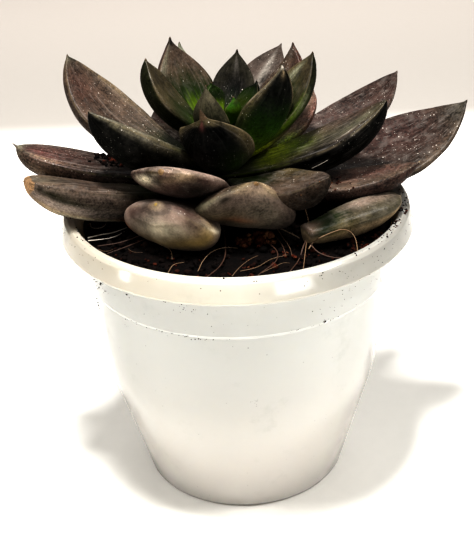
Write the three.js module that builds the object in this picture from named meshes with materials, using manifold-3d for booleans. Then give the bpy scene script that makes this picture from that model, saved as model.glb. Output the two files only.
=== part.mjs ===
// Potted echeveria: a leaning rosette of thick leaves in a white nursery pot.
// Millimetres, +Z up. The origin is the centre of the pot's underside, and -Y is the front.
import * as THREE from "three";
import { mergeVertices } from "three/addons/utils/BufferGeometryUtils.js";
import Module from "manifold-3d";

const wasm = await Module();
wasm.setup();

// Driving dimensions of the pot
const POT_HEIGHT = 75;
const FOOT_RADIUS = 26.2;
const FOOT_CHAMFER = 0.7;
const SHOULDER_HEIGHT = 30;
const SHOULDER_RADIUS = 34.5;
const STEP_HEIGHT = 57;
const STEP_RADIUS = 37.5;
const STEP_DEPTH = 0.6;
const NECK_HEIGHT = 69.2;
const NECK_RADIUS = 38.9;
const SKIRT_RADIUS = 44;
const LIP_RADIUS = 42.4;
const MOUTH_RADIUS = 40.3;
const WALL = 1.2;
const FLOOR = 1.6;
const POT_SIDES = 48;

// Driving dimensions of the soil and the stem, and the gap between neighbours
const SOIL_EDGE_HEIGHT = 71;
const SOIL_MIDDLE_HEIGHT = 72.4;
const STEM_FOOT = 58;
const STEM_TOP = 97.5;
const STEM_SIDES = 16;
const GAP = 0.3;

// The pot's outside from the foot to under the rim, as radius and height
const POT_OUTSIDE = [
  [FOOT_RADIUS, FOOT_CHAMFER],
  [30.2, 15],
  [33.4, 26.2],
  [SHOULDER_RADIUS, SHOULDER_HEIGHT],
  [35.3, 34],
  [36.2, 42],
  [STEP_RADIUS, STEP_HEIGHT],
  [STEP_RADIUS + STEP_DEPTH, STEP_HEIGHT + 1],
  [NECK_RADIUS, NECK_HEIGHT],
];

// The stem, as radius and height: even in the soil, thickest at the old leaves, narrow at the heart
const STEM_OUTSIDE = [
  [5, STEM_FOOT],
  [5, 70],
  [5.4, 74],
  [4.6, 79],
  [3.4, 84],
  [2.6, 90],
  [1.5, 96.5],
];

// The rosette leans: its axis passes these two points
const LEAN_LOW = { x: -4.5, y: 0.5, z: 76 };
const LEAN_HIGH = { x: -1.5, y: 2, z: 100 };

// Facets of a leaf, and how far its root is sunk before it is cut clear of the stem
const LEAF_SIDES = 10;
const LEAF_RINGS = 11;
const RING_CROWDING = 0.07;
const ROOT_SINK = 0.4;

// What a leaf has unless its row says otherwise. Lengths are millimetres and turns are degrees.
// turn is the direction it points in plan, reach its tip's distance from the axis, top its tip's height
// and root its root's height. sag bends it down along the way, bend says where, and side bends it sideways.
// neck, peak and tip shape the outline. cup raises its margins, roll turns it about its own length,
// over is the share of its thickness that lies above its centre line, and clasp is how far its root
// reaches round the stem.
const LEAF = {
  root: 84, wide: 18, thick: 6, sag: 0.1, bend: 0.62, side: 0,
  neck: 0.36, peak: 0.55, tip: 0.85, cup: 0.22, roll: 0, over: 0.3, clasp: 0,
};

// The lowest tier, the first ones as seen from the front and the last four behind
const OUTER_LEAVES = [
  { turn: 177.4, reach: 49.4, top: 90.4, root: 80.4, wide: 15.6, thick: 6.9, sag: 0.047, bend: 0.8,
    tip: 0.72, roll: 6, cup: 0.16, over: 0.27, peak: 0.52 },
  { turn: 194.2, reach: 46.9, top: 87, root: 77, wide: 17, thick: 9.3, sag: 0.028, tip: 0.39, roll: 12.4,
    cup: 0.11, over: 0.24 },
  { turn: 152, reach: 42, top: 107, root: 82, wide: 19, thick: 7, sag: 0.15, bend: 0.68, tip: 0.9 },
  { turn: 10, reach: 63.5, top: 94, root: 79, wide: 22, sag: 0.12, bend: 0.68, roll: 16 },
  { turn: -10, reach: 48.4, top: 86.1, root: 80.6, wide: 16.1, thick: 5.8, sag: 0.097, tip: 0.81,
    roll: -5.3, cup: 0.2, over: 0.33, neck: 0.23, side: -0.011 },
  { turn: -45.6, reach: 35.4, top: 90.6, root: 82.1, wide: 14.8, thick: 6.8, sag: 0.094, tip: 0.67,
    roll: 6.4, cup: 0.26, over: 0.28, neck: 0.33, peak: 0.42, side: -0.026 },
  { turn: -69, reach: 25, top: 89, root: 77, wide: 24, thick: 9, sag: 0.07, tip: 0.6, roll: -16, cup: -0.35,
    peak: 0.6, neck: 0.45 },
  { turn: -118.5, reach: 26.7, top: 93, root: 79.9, wide: 22.8, thick: 6.1, sag: 0.015, tip: 0.5,
    roll: 5.3, cup: 0.01, peak: 0.63, neck: 0.47, over: 0.35, side: 0.011 },
  { turn: -121.6, reach: 26.2, top: 84.4, root: 75, wide: 25.1, thick: 11.5, sag: 0.12, tip: 0.52,
    roll: 0.1, cup: -0.12, peak: 0.65, neck: 0.21, over: 0.37, side: 0.05 },
  { turn: 128, reach: 44, top: 84, root: 80, wide: 19, thick: 7, sag: 0.05 },
  { turn: 104, reach: 48, top: 86, root: 77, wide: 20, thick: 7, sag: 0.05 },
  { turn: 80, reach: 47, top: 87, root: 80, wide: 19, thick: 7, sag: 0.05 },
  { turn: 57, reach: 45, top: 83, root: 77, wide: 18, thick: 7, sag: 0.05 },
];

// The long pointed leaves above them
const MIDDLE_LEAVES = [
  { turn: 204, reach: 32, top: 104, root: 83, wide: 17, thick: 8, sag: 0.07, roll: 14, neck: 0.7, clasp: 4 },
  { turn: 34, reach: 57, top: 95, root: 84, wide: 17, thick: 5, sag: 0.12, bend: 0.68 },
  { turn: -2, reach: 40.5, top: 99.5, root: 82, wide: 16, thick: 8, bend: 0.65, roll: -2, neck: 0.75,
    clasp: 4.5 },
  { turn: 176, reach: 17.5, top: 111, root: 91, wide: 14, thick: 5, sag: 0.12, tip: 0.95 },
  { turn: 127.2, reach: 19.5, top: 111.6, root: 88.9, wide: 17.2, thick: 5.4, sag: 0.106, tip: 1.33,
    side: 0.02, roll: 9.7, neck: 0.37, peak: 0.485, cup: 0.19, over: 0.25 },
  { turn: 118, reach: 26.3, top: 107.8, root: 85.5, wide: 16, thick: 5, sag: 0.07, tip: 1.1 },
  { turn: 62.5, reach: 34.4, top: 104, root: 90.9, wide: 13.1, thick: 5.2, sag: 0.085, tip: 0.97,
    side: 0.07, roll: -2.9, neck: 0.39, peak: 0.53, cup: 0.24, over: 0.32 },
  { turn: 33, reach: 22.5, top: 110, root: 85, wide: 17, thick: 5, sag: 0.14, peak: 0.4, tip: 1, side: -0.1 },
  { turn: 11, reach: 23.3, top: 110, root: 86.5, wide: 15, thick: 5, sag: 0.103, side: 0.036, roll: 9,
    neck: 0.41, peak: 0.49, tip: 1 },
  { turn: 37, reach: 30, top: 95.5, root: 86, wide: 15, thick: 4.5, sag: 0.14, tip: 0.6 },
  { turn: 88, reach: 32, top: 99, root: 84, wide: 17, thick: 5 },
];

// The upright leaves round the heart
const INNER_LEAVES = [
  { turn: -101.5, reach: 18.7, top: 103.3, root: 87.1, wide: 18.5, thick: 7.2, sag: 0.155, tip: 0.99,
    side: 0.143, roll: -12, neck: 0.345, peak: 0.64, cup: 0.28 },
  { turn: -24, reach: 16.3, top: 111, root: 87, wide: 18, thick: 5, sag: 0.128, tip: 1.19, side: -0.025,
    roll: -9.5, neck: 0.4, peak: 0.52, cup: 0.4 },
  { turn: 74, reach: 15, top: 108, root: 93, wide: 10.5, thick: 4.5, tip: 1.1, peak: 0.48 },
  { turn: -115, reach: 7.8, top: 106.6, root: 90, wide: 10, thick: 3, sag: 0.167, tip: 1.23, side: 0.076,
    roll: -5.5, neck: 0.33, peak: 0.45 },
  { turn: 30, reach: 9.5, top: 103, root: 95, wide: 7, thick: 3, tip: 1.1 },
  { turn: 140, reach: 3.5, top: 104, root: 95, wide: 7, thick: 2.8, sag: 0.08, tip: 1.1 },
  { turn: -45, reach: 3.4, top: 101.8, root: 95.5, wide: 4.6, thick: 3, sag: 0.09, tip: 1.25 },
];

// The leaf that lies on the soil at the front right, given by its two ends
const ROOTED_LEAF = {
  from: [15.6, -23.4, 76.5], to: [39.3, -10.3, 78.8], wide: 8.6, thick: 7.9, sag: 0.046, tip: 0.56,
  neck: 0.52, peak: 0.61, roll: 12.2, cup: 0.2, side: 0.019, over: 0.42,
};

// Coarse roots on the soil: a radius, and plan points with a lift over the soil.
// Those of the stem start at its axis and those of the rooted leaf in its lower end.
const ROOT_STEPS = 10;
const STEM_ROOTS = [
  { radius: 0.45, points: [[-20, -10, 0.2], [-28, -15, 0], [-33.5, -16, 0.1]] },
  { radius: 0.4, points: [[-19, -12, 0], [-26.5, -18, 0.3], [-31, -20, 0]] },
  { radius: 0.45, points: [[-3, -20, 0.2], [-4, -29, 0.2], [-8, -35, 0]] },
  { radius: 0.45, points: [[6, -18, 0.2], [9, -27, 0.4], [4, -34.5, 0]] },
  { radius: 0.5, points: [[7, -13, 0], [10, -20, 0.2], [11, -26, 0.1]] },
  { radius: 0.45, points: [[14, 12, 0.2], [24, 20, 0], [31, 20, 0]] },
  { radius: 0.45, points: [[-10, 18, 0.2], [-18, 28, 0], [-20, 32, 0]] },
];
const LEAF_ROOTS = [
  { radius: 0.45, points: [[16, -22.6, 2.4], [15, -25, 1.6], [14, -27.5, 0.2], [11.5, -33, 0]] },
  { radius: 0.45, points: [[16, -22.8, 2.4], [19, -27, 1], [25, -27.5, 0.3], [28, -24.8, 0.4]] },
];

// Materials
function finish(color, roughness) {
  return new THREE.MeshStandardMaterial({ color, roughness, metalness: 0 });
}

const POT_WHITE = finish(0xe9e6df, 0.35);
const SOIL_BLACK = finish(0x1d130e, 0.95);
const STEM_BROWN = finish(0x6b5334, 0.8);
const OUTER_PURPLE = finish(0x574447, 0.55);
const MIDDLE_PURPLE = finish(0x43343a, 0.45);
const INNER_GREEN = finish(0x1c2417, 0.4);

// Plan position of the rosette's axis at a height
function axisAt(z) {
  const k = (z - LEAN_LOW.z) / (LEAN_HIGH.z - LEAN_LOW.z);
  return [LEAN_LOW.x + (LEAN_HIGH.x - LEAN_LOW.x) * k, LEAN_LOW.y + (LEAN_HIGH.y - LEAN_LOW.y) * k];
}

// Radius at a height on a profile of radius and height points
function radiusAt(profile, z) {
  const next = profile.findIndex((point) => z <= point[1]);
  if (next < 1) {
    return profile.at(-1)[0];
  }
  const [r0, z0] = profile[next - 1];
  const [r1, z1] = profile[next];
  return r0 + ((r1 - r0) * (z - z0)) / (z1 - z0);
}

// A closed geometry as a solid that can be joined and cut
function solid(geometry) {
  geometry.deleteAttribute("normal");
  geometry.deleteAttribute("uv");
  const merged = mergeVertices(geometry, 1e-4);
  return new wasm.Manifold(new wasm.Mesh({
    numProp: 3,
    vertProperties: new Float32Array(merged.attributes.position.array),
    triVerts: new Uint32Array(merged.index.array),
  }));
}

// A solid's surface as a geometry
function surfaceOf(body) {
  const mesh = body.getMesh();
  const geometry = new THREE.BufferGeometry();
  geometry.setAttribute("position", new THREE.BufferAttribute(new Float32Array(mesh.vertProperties), 3));
  geometry.setIndex(new THREE.BufferAttribute(new Uint32Array(mesh.triVerts), 1));
  geometry.computeVertexNormals();
  return geometry;
}

// The biggest body of a solid that a cut may have split
function mainBody(body) {
  return body.decompose().sort((a, b) => b.volume() - a.volume())[0];
}

// A profile of radius and height points turned about Z, going up its outside so that it faces out
function turned(points, sides) {
  const profile = points.map(([r, z]) => new THREE.Vector2(r, z));
  return new THREE.LatheGeometry(profile, sides).rotateX(Math.PI / 2);
}

// The pot: a thin wall with a small step, and a rim that folds out and down as a skirt
function potGeometry() {
  const lipUnder = POT_HEIGHT - 1.4;
  const edge = 0.4;
  const inside = POT_OUTSIDE.slice(1).map(([r, z]) => [r - WALL, z]).reverse();
  return turned([
    [0, 0],
    [FOOT_RADIUS - FOOT_CHAMFER, 0],
    ...POT_OUTSIDE,
    [MOUTH_RADIUS + edge, lipUnder],
    [LIP_RADIUS - WALL, lipUnder],
    [SKIRT_RADIUS - WALL, NECK_HEIGHT + edge],
    [SKIRT_RADIUS - edge, NECK_HEIGHT],
    [SKIRT_RADIUS, NECK_HEIGHT + 2 * edge],
    [LIP_RADIUS + edge, POT_HEIGHT - 2 * edge],
    [LIP_RADIUS - edge, POT_HEIGHT],
    [MOUTH_RADIUS + edge, POT_HEIGHT],
    [MOUTH_RADIUS, POT_HEIGHT - edge],
    ...inside,
    [FOOT_RADIUS - WALL + edge, FLOOR],
    [0, FLOOR],
  ], POT_SIDES);
}

// Radius of the pot's inside just over the soil's edge
const SOIL_EDGE_RADIUS = radiusAt([[NECK_RADIUS - WALL, NECK_HEIGHT], [MOUTH_RADIUS, POT_HEIGHT]],
  SOIL_EDGE_HEIGHT) - GAP;

// Height of the soil's surface at a distance from the pot's centre
function soilHeight(r) {
  const share = Math.min(r / SOIL_EDGE_RADIUS, 1);
  return SOIL_MIDDLE_HEIGHT + (SOIL_EDGE_HEIGHT - SOIL_MIDDLE_HEIGHT) * share * share;
}

function soilGeometry() {
  const side = POT_OUTSIDE.slice(1).map(([r, z]) => [r - WALL - GAP, z]);
  const top = [1, 0.75, 0.5, 0.25].map((share) => {
    return [SOIL_EDGE_RADIUS * share, soilHeight(SOIL_EDGE_RADIUS * share)];
  });
  return turned([
    [0, FLOOR + GAP],
    [FOOT_RADIUS - WALL - GAP, FLOOR + GAP],
    ...side,
    ...top,
    [0, SOIL_MIDDLE_HEIGHT],
  ], POT_SIDES);
}

// The stem about the leaning axis, grown outwards by some clearance
function stemGeometry(grow) {
  const geometry = turned([
    [0, STEM_FOOT - grow],
    ...STEM_OUTSIDE.map(([r, z]) => [r + grow, z]),
    [0, STEM_TOP + grow],
  ], STEM_SIDES);
  const position = geometry.attributes.position;
  for (let i = 0; i < position.count; i += 1) {
    const [x, y] = axisAt(position.getZ(i));
    position.setXY(i, position.getX(i) + x, position.getY(i) + y);
  }
  return geometry;
}

// A leaf's centre line from root to tip, and its level sideways direction
function leafLine(leaf) {
  let start;
  let end;
  if (leaf.from) {
    start = new THREE.Vector3(...leaf.from);
    end = new THREE.Vector3(...leaf.to);
  } else {
    const turn = THREE.MathUtils.degToRad(leaf.turn);
    const out = new THREE.Vector3(Math.cos(turn), Math.sin(turn), 0);
    const base = radiusAt(STEM_OUTSIDE, leaf.root) - ROOT_SINK - leaf.clasp;
    start = new THREE.Vector3(...axisAt(leaf.root), leaf.root).addScaledVector(out, base);
    end = new THREE.Vector3(...axisAt(leaf.root), leaf.top).addScaledVector(out, leaf.reach);
  }
  const chord = end.clone().sub(start);
  const sideways = new THREE.Vector3(-chord.y, chord.x, 0).normalize();
  const above = chord.clone().cross(sideways).normalize();
  const middle = start.clone().addScaledVector(chord, leaf.bend);
  middle.addScaledVector(above, -2 * leaf.sag * chord.length());
  middle.addScaledVector(sideways, leaf.side * chord.length());
  return { curve: new THREE.QuadraticBezierCurve3(start, middle, end), sideways };
}

// Shares of the full width and thickness at u, from 0 at the root to 1 at the tip
function widthShare(leaf, u) {
  if (u < leaf.peak) {
    return leaf.neck + (1 - leaf.neck) * Math.sin((Math.PI / 2) * (u / leaf.peak)) ** 1.3;
  }
  const rest = (u - leaf.peak) / (1 - leaf.peak);
  return Math.max(1 - rest * rest, 0) ** leaf.tip;
}

function thicknessShare(leaf, u) {
  const fullest = 0.45;
  const neck = 0.55;
  if (u < fullest) {
    return neck + (1 - neck) * Math.sin((Math.PI / 2) * (u / fullest));
  }
  const rest = (u - fullest) / (1 - fullest);
  return Math.max(1 - rest ** 2.6, 0) ** (0.5 + 0.35 * leaf.tip);
}

// A leaf is a sphere drawn out along its centre line, with its poles at the root and the tip
function leafGeometry(row, grow) {
  const leaf = { ...LEAF, ...row };
  const { curve, sideways } = leafLine(leaf);
  const roll = THREE.MathUtils.degToRad(leaf.roll);
  const geometry = new THREE.SphereGeometry(1, LEAF_SIDES, LEAF_RINGS);
  const position = geometry.attributes.position;
  for (let i = 0; i < position.count; i += 1) {
    const polar = Math.acos(THREE.MathUtils.clamp(-position.getY(i), -1, 1)) / Math.PI;
    const around = Math.atan2(position.getX(i), position.getZ(i));
    const u = polar - RING_CROWDING * Math.sin(2 * Math.PI * polar);
    const along = curve.getTangent(u);
    const level = sideways.clone().addScaledVector(along, -sideways.dot(along)).normalize();
    const side = level.clone().applyAxisAngle(along, roll);
    const up = along.clone().cross(side);
    const point = curve.getPoint(u);
    if (polar < 1e-6 || polar > 1 - 1e-6) {
      point.addScaledVector(along, polar < 0.5 ? -grow : grow);
    } else {
      const halfWidth = (leaf.wide / 2) * widthShare(leaf, u);
      const sine = Math.sin(around);
      const cosine = Math.cos(around);
      const depth = (sine > 0 ? leaf.over : 1 - leaf.over) * leaf.thick * thicknessShare(leaf, u);
      point.addScaledVector(side, (halfWidth + grow) * cosine);
      point.addScaledVector(up, (depth + grow) * sine + leaf.cup * halfWidth * cosine * cosine);
    }
    position.setXYZ(i, point.x, point.y, point.z);
  }
  return geometry;
}

// A round root through plan points, lying just over the soil
function rootGeometry(points, radius, grow) {
  const path = new THREE.CatmullRomCurve3(points.map(([x, y, lift]) => {
    return new THREE.Vector3(x, y, soilHeight(Math.hypot(x, y)) + GAP + radius + lift);
  }));
  const section = new THREE.Shape();
  section.absarc(0, 0, radius + grow, 0, 2 * Math.PI, false);
  return new THREE.ExtrudeGeometry(section, {
    extrudePath: path, steps: ROOT_STEPS, curveSegments: 3, bevelEnabled: false,
  });
}

// The stem with the roots that grow from it, and the rooted leaf's own roots
function stemBody(grow) {
  const origin = [...axisAt(SOIL_MIDDLE_HEIGHT), 0];
  return STEM_ROOTS.reduce((body, { points, radius }) => {
    return body.add(solid(rootGeometry([origin, ...points], radius, grow)));
  }, solid(stemGeometry(grow)));
}

function withLeafRoots(leaf) {
  return LEAF_ROOTS.reduce((body, { points, radius }) => {
    return body.add(solid(rootGeometry(points, radius, 0)));
  }, leaf);
}

// What the pot and the soil keep clear of every leaf, as one block with a gap round it
function potBlock() {
  return turned([
    [0, 0],
    [FOOT_RADIUS, 0],
    [NECK_RADIUS, NECK_HEIGHT - 1],
    [SKIRT_RADIUS + GAP, NECK_HEIGHT - 1],
    [SKIRT_RADIUS + GAP, NECK_HEIGHT + 1],
    [LIP_RADIUS + 2 * GAP, POT_HEIGHT + GAP],
    [MOUTH_RADIUS - GAP, POT_HEIGHT + GAP],
    [MOUTH_RADIUS - GAP, SOIL_EDGE_HEIGHT + GAP],
    [MOUTH_RADIUS / 2, soilHeight(MOUTH_RADIUS / 2) + GAP],
    [0, SOIL_MIDDLE_HEIGHT + GAP],
  ], POT_SIDES);
}

const echeveria = new THREE.Group();

function addPiece(name, body, material) {
  const mesh = new THREE.Mesh(surfaceOf(body), material);
  mesh.name = name;
  echeveria.add(mesh);
}

addPiece("pot", solid(potGeometry()), POT_WHITE);
addPiece("soil", solid(soilGeometry()).subtract(solid(stemGeometry(GAP))), SOIL_BLACK);
addPiece("stem", stemBody(0), STEM_BROWN);

// Leaves are made from the heart outwards, and each one gives way to what is already there
const taken = [stemBody(GAP), solid(potBlock())];

function leafBody(row) {
  const touched = taken.filter((other) => !other.intersect(solid(leafGeometry(row, 0))).isEmpty());
  const body = touched.reduce((rest, other) => rest.subtract(other), solid(leafGeometry(row, 0)));
  taken.push(solid(leafGeometry(row, GAP)));
  return mainBody(body);
}

INNER_LEAVES.forEach((row, i) => addPiece(`inner_leaf_${i + 1}`, leafBody(row), INNER_GREEN));
MIDDLE_LEAVES.forEach((row, i) => addPiece(`middle_leaf_${i + 1}`, leafBody(row), MIDDLE_PURPLE));
OUTER_LEAVES.forEach((row, i) => addPiece(`outer_leaf_${i + 1}`, leafBody(row), OUTER_PURPLE));
addPiece("rooted_leaf", withLeafRoots(leafBody(ROOTED_LEAF)), OUTER_PURPLE);

export default echeveria;
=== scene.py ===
"""A potted echeveria: a leaning rosette of thick dark leaves in a white nursery pot.

The tables are in millimetres and degrees. Heights start at the underside of the pot.
"""

import random
from math import acos, atan2, cos, degrees, exp, hypot, pi, radians, sin

import bmesh
import bpy
from mathutils import Matrix, Vector, noise


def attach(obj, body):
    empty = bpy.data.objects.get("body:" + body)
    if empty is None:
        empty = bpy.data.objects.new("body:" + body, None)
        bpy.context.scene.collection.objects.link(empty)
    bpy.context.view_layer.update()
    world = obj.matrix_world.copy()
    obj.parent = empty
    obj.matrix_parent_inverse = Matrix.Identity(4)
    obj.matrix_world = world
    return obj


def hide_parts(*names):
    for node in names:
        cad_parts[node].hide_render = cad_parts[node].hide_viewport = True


bl_info = {
    "name": "Potted echeveria",
    "version": (1, 0, 0),
    "blender": (4, 5, 0),
    "location": "3D View > Sidebar > Echeveria",
    "description": "Dresses the potted echeveria: pot, soil, stem, leaves, roots and crumbs",
    "category": "Add Mesh",
}

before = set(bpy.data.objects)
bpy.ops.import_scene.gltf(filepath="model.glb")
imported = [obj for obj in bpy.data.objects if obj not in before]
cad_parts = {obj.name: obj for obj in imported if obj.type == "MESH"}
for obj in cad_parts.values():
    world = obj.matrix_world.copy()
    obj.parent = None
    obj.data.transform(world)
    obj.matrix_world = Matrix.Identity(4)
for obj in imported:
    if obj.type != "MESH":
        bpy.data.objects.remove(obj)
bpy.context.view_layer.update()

MM = 0.001
# How far every root stays off the soil
GAP = 0.3
# Points of a turned or closed mesh nearer than this are one
MERGE_DISTANCE = 1e-4
# Where the noise of all dents starts. Without it, they would differ from run to run.
NOISE_SEED = 7

# The pot's underside from the middle to the foot, as radius and height
POT_UNDERSIDE = [(0, 1.0), (23.2, 1.0), (23.8, 0.2), (24.2, 0), (25.7, 0)]

# The pot's outside from the foot to under the rim
POT_OUTSIDE = [
    (26.2, 0.7),
    (30.2, 15),
    (33.4, 26.2),
    (34.5, 30),
    (35.3, 34),
    (36.2, 42),
    (37.5, 57),
    (38.1, 58),
    (38.9, 69.2),
]

# The folded rim, from under the lip round the skirt to the mouth
POT_RIM = [
    (40.7, 73.6),
    (41.2, 73.6),
    (42.8, 69.6),
    (43.6, 69.2),
    (44, 70),
    (42.8, 74.2),
    (42, 75),
    (40.7, 75),
    (40.3, 74.6),
]

# The skirt of the rim, from its lower edge to the top of the pot
NECK_HEIGHT = 69.2
POT_HEIGHT = 75
POT_SKIRT = [(44, NECK_HEIGHT), (44, 70), (42.8, 74.2), (42, POT_HEIGHT)]

# The pot's mesh: steps round it, the angle from which an edge is sharp and how far that is rounded
POT_STEPS = 144
POT_SHARP = radians(25)
POT_BEVEL = 0.16

# The height of the soil in its middle, its drop to the edge and the edge's radius
SOIL_MIDDLE = 72.4
SOIL_DROP = 1.4
SOIL_EDGE = 38.27

# The ground: cells along a side, how far it lies under the soil's smooth surface, the height of its
# hidden floor and how much narrower that is
GROUND_CELLS = 120
GROUND_SINK = 0.3
GROUND_FLOOR = 60
GROUND_TAPER = 0.97

# Crumbs: their height and the depth of their dents, as shares of their length, and where the draws
# for those on the soil, on the pot and on the leaves start
CRUMB_FLATNESS = 0.7
CRUMB_DENTS = 0.22
SOIL_SEED = 11
POT_SEED = 5
LEAF_SEED = 8

# The stem, as radius and height, and two points of the axis that it and the rosette lean along
STEM_OUTSIDE = [
    (5, 58),
    (5, 70),
    (5.4, 74),
    (4.6, 79),
    (3.4, 84),
    (2.6, 90),
    (1.5, 96.5),
]
LEAN_LOW = Vector((-4.5, 0.5, 76))
LEAN_HIGH = Vector((-1.5, 2, 100))

# The heights of the stem's two ends, the depth of its rings, and how thick the far end of a root is
STEM_ENDS = (58, 97.5)
STEM_RING = 0.25
ROOT_TAPER = 0.6

# Leaves: how deep they sit in the stem, the sides and rings of their mesh, how much the rings crowd
# at the ends, the shares of them on the blade and on its spine, and from where the thorn thickens it
ROOT_SINK = 0.4
LEAF_SIDES = 40
LEAF_RINGS = 56
RING_CROWDING = 0.07
BLADE_SHARE = 0.94
SPINE_SHARE = 0.06
THORN_START = 0.8

# Where a leaf is thickest, its thickness at the root as a share and what it gains from there, the
# width of the keel, the size of dents and how soon these come in from the two ends
THICKEST_AT = 0.45
ROOT_THICKNESS = 0.55
THICKENING = 0.45
KEEL_WIDTH = 0.22
DENT_SIZE = 7
END_CALM = 8

# What the points of a leaf keep for its skin: their place, values of its row in threes, and colours
LEAF_PLACES = ("along", "across", "above")
LEAF_VALUES = {
    "habit": ("bloom", "streak", "edge"),
    "reach": ("heel", "cap", "dust"),
    "skin": ("gloss", "wrap_and_light", "calm"),
}
LEAF_TONES = ("face", "back", "foot", "end")

# What a leaf has unless its row says otherwise.
# Every row has turn, reach and top, which place its tip: a bearing and a distance from the axis, and
# a height. root is the height of its other end and clasp how much further that goes into the stem.
# sag and side bend it down and aside at bend. neck is its width at the root, peak where it is widest,
# tip how pointed it is, cup how far its margins rise, roll its turn about its length and over how
# much of its thickness is above its middle. spine and thorn are the length and the radius of the
# point at its tip, keel is the ridge under it, uneven the depth of its dents, and furrows are lines
# pressed into it: place across, width, depth and both ends.
# bloom is pale wax, streak and edge are lines along it, dust is pale specks, gloss is its shine,
# calm makes its skin smoother, and wrap is how far the colour of its face reaches round the margins
# onto the back, partly a painted band of light that the back catches just under the margins.
# heel and cap are how far foot and end reach. light makes all its colours paler or darker, and is
# partly painted light and shade, for how well lit each leaf is where it stands. A stain has its place
# along and around the leaf, its two spreads, its colour and its strength; some are painted shade or
# painted highlights, as the rows say. Around is in degrees from the left margin, seen from the root,
# over the top.
LEAF = dict(
    root=84, wide=18, thick=6, sag=0.1, bend=0.62, side=0, neck=0.36, peak=0.55, tip=0.85,
    cup=0.22, roll=0, over=0.3, clasp=0,
    spine=0.6, thorn=0.32, keel=0.1, uneven=0.2, furrows=(), stains=(),
    face="plum", back="near_black", foot="heel_green", end="bark_brown",
    bloom=0.3, streak=0.2, edge=0.6, dust=0.3, gloss=0.28, wrap_and_light=0, calm=0,
    heel=0.12, cap=0.03, light=1,
)

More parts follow.
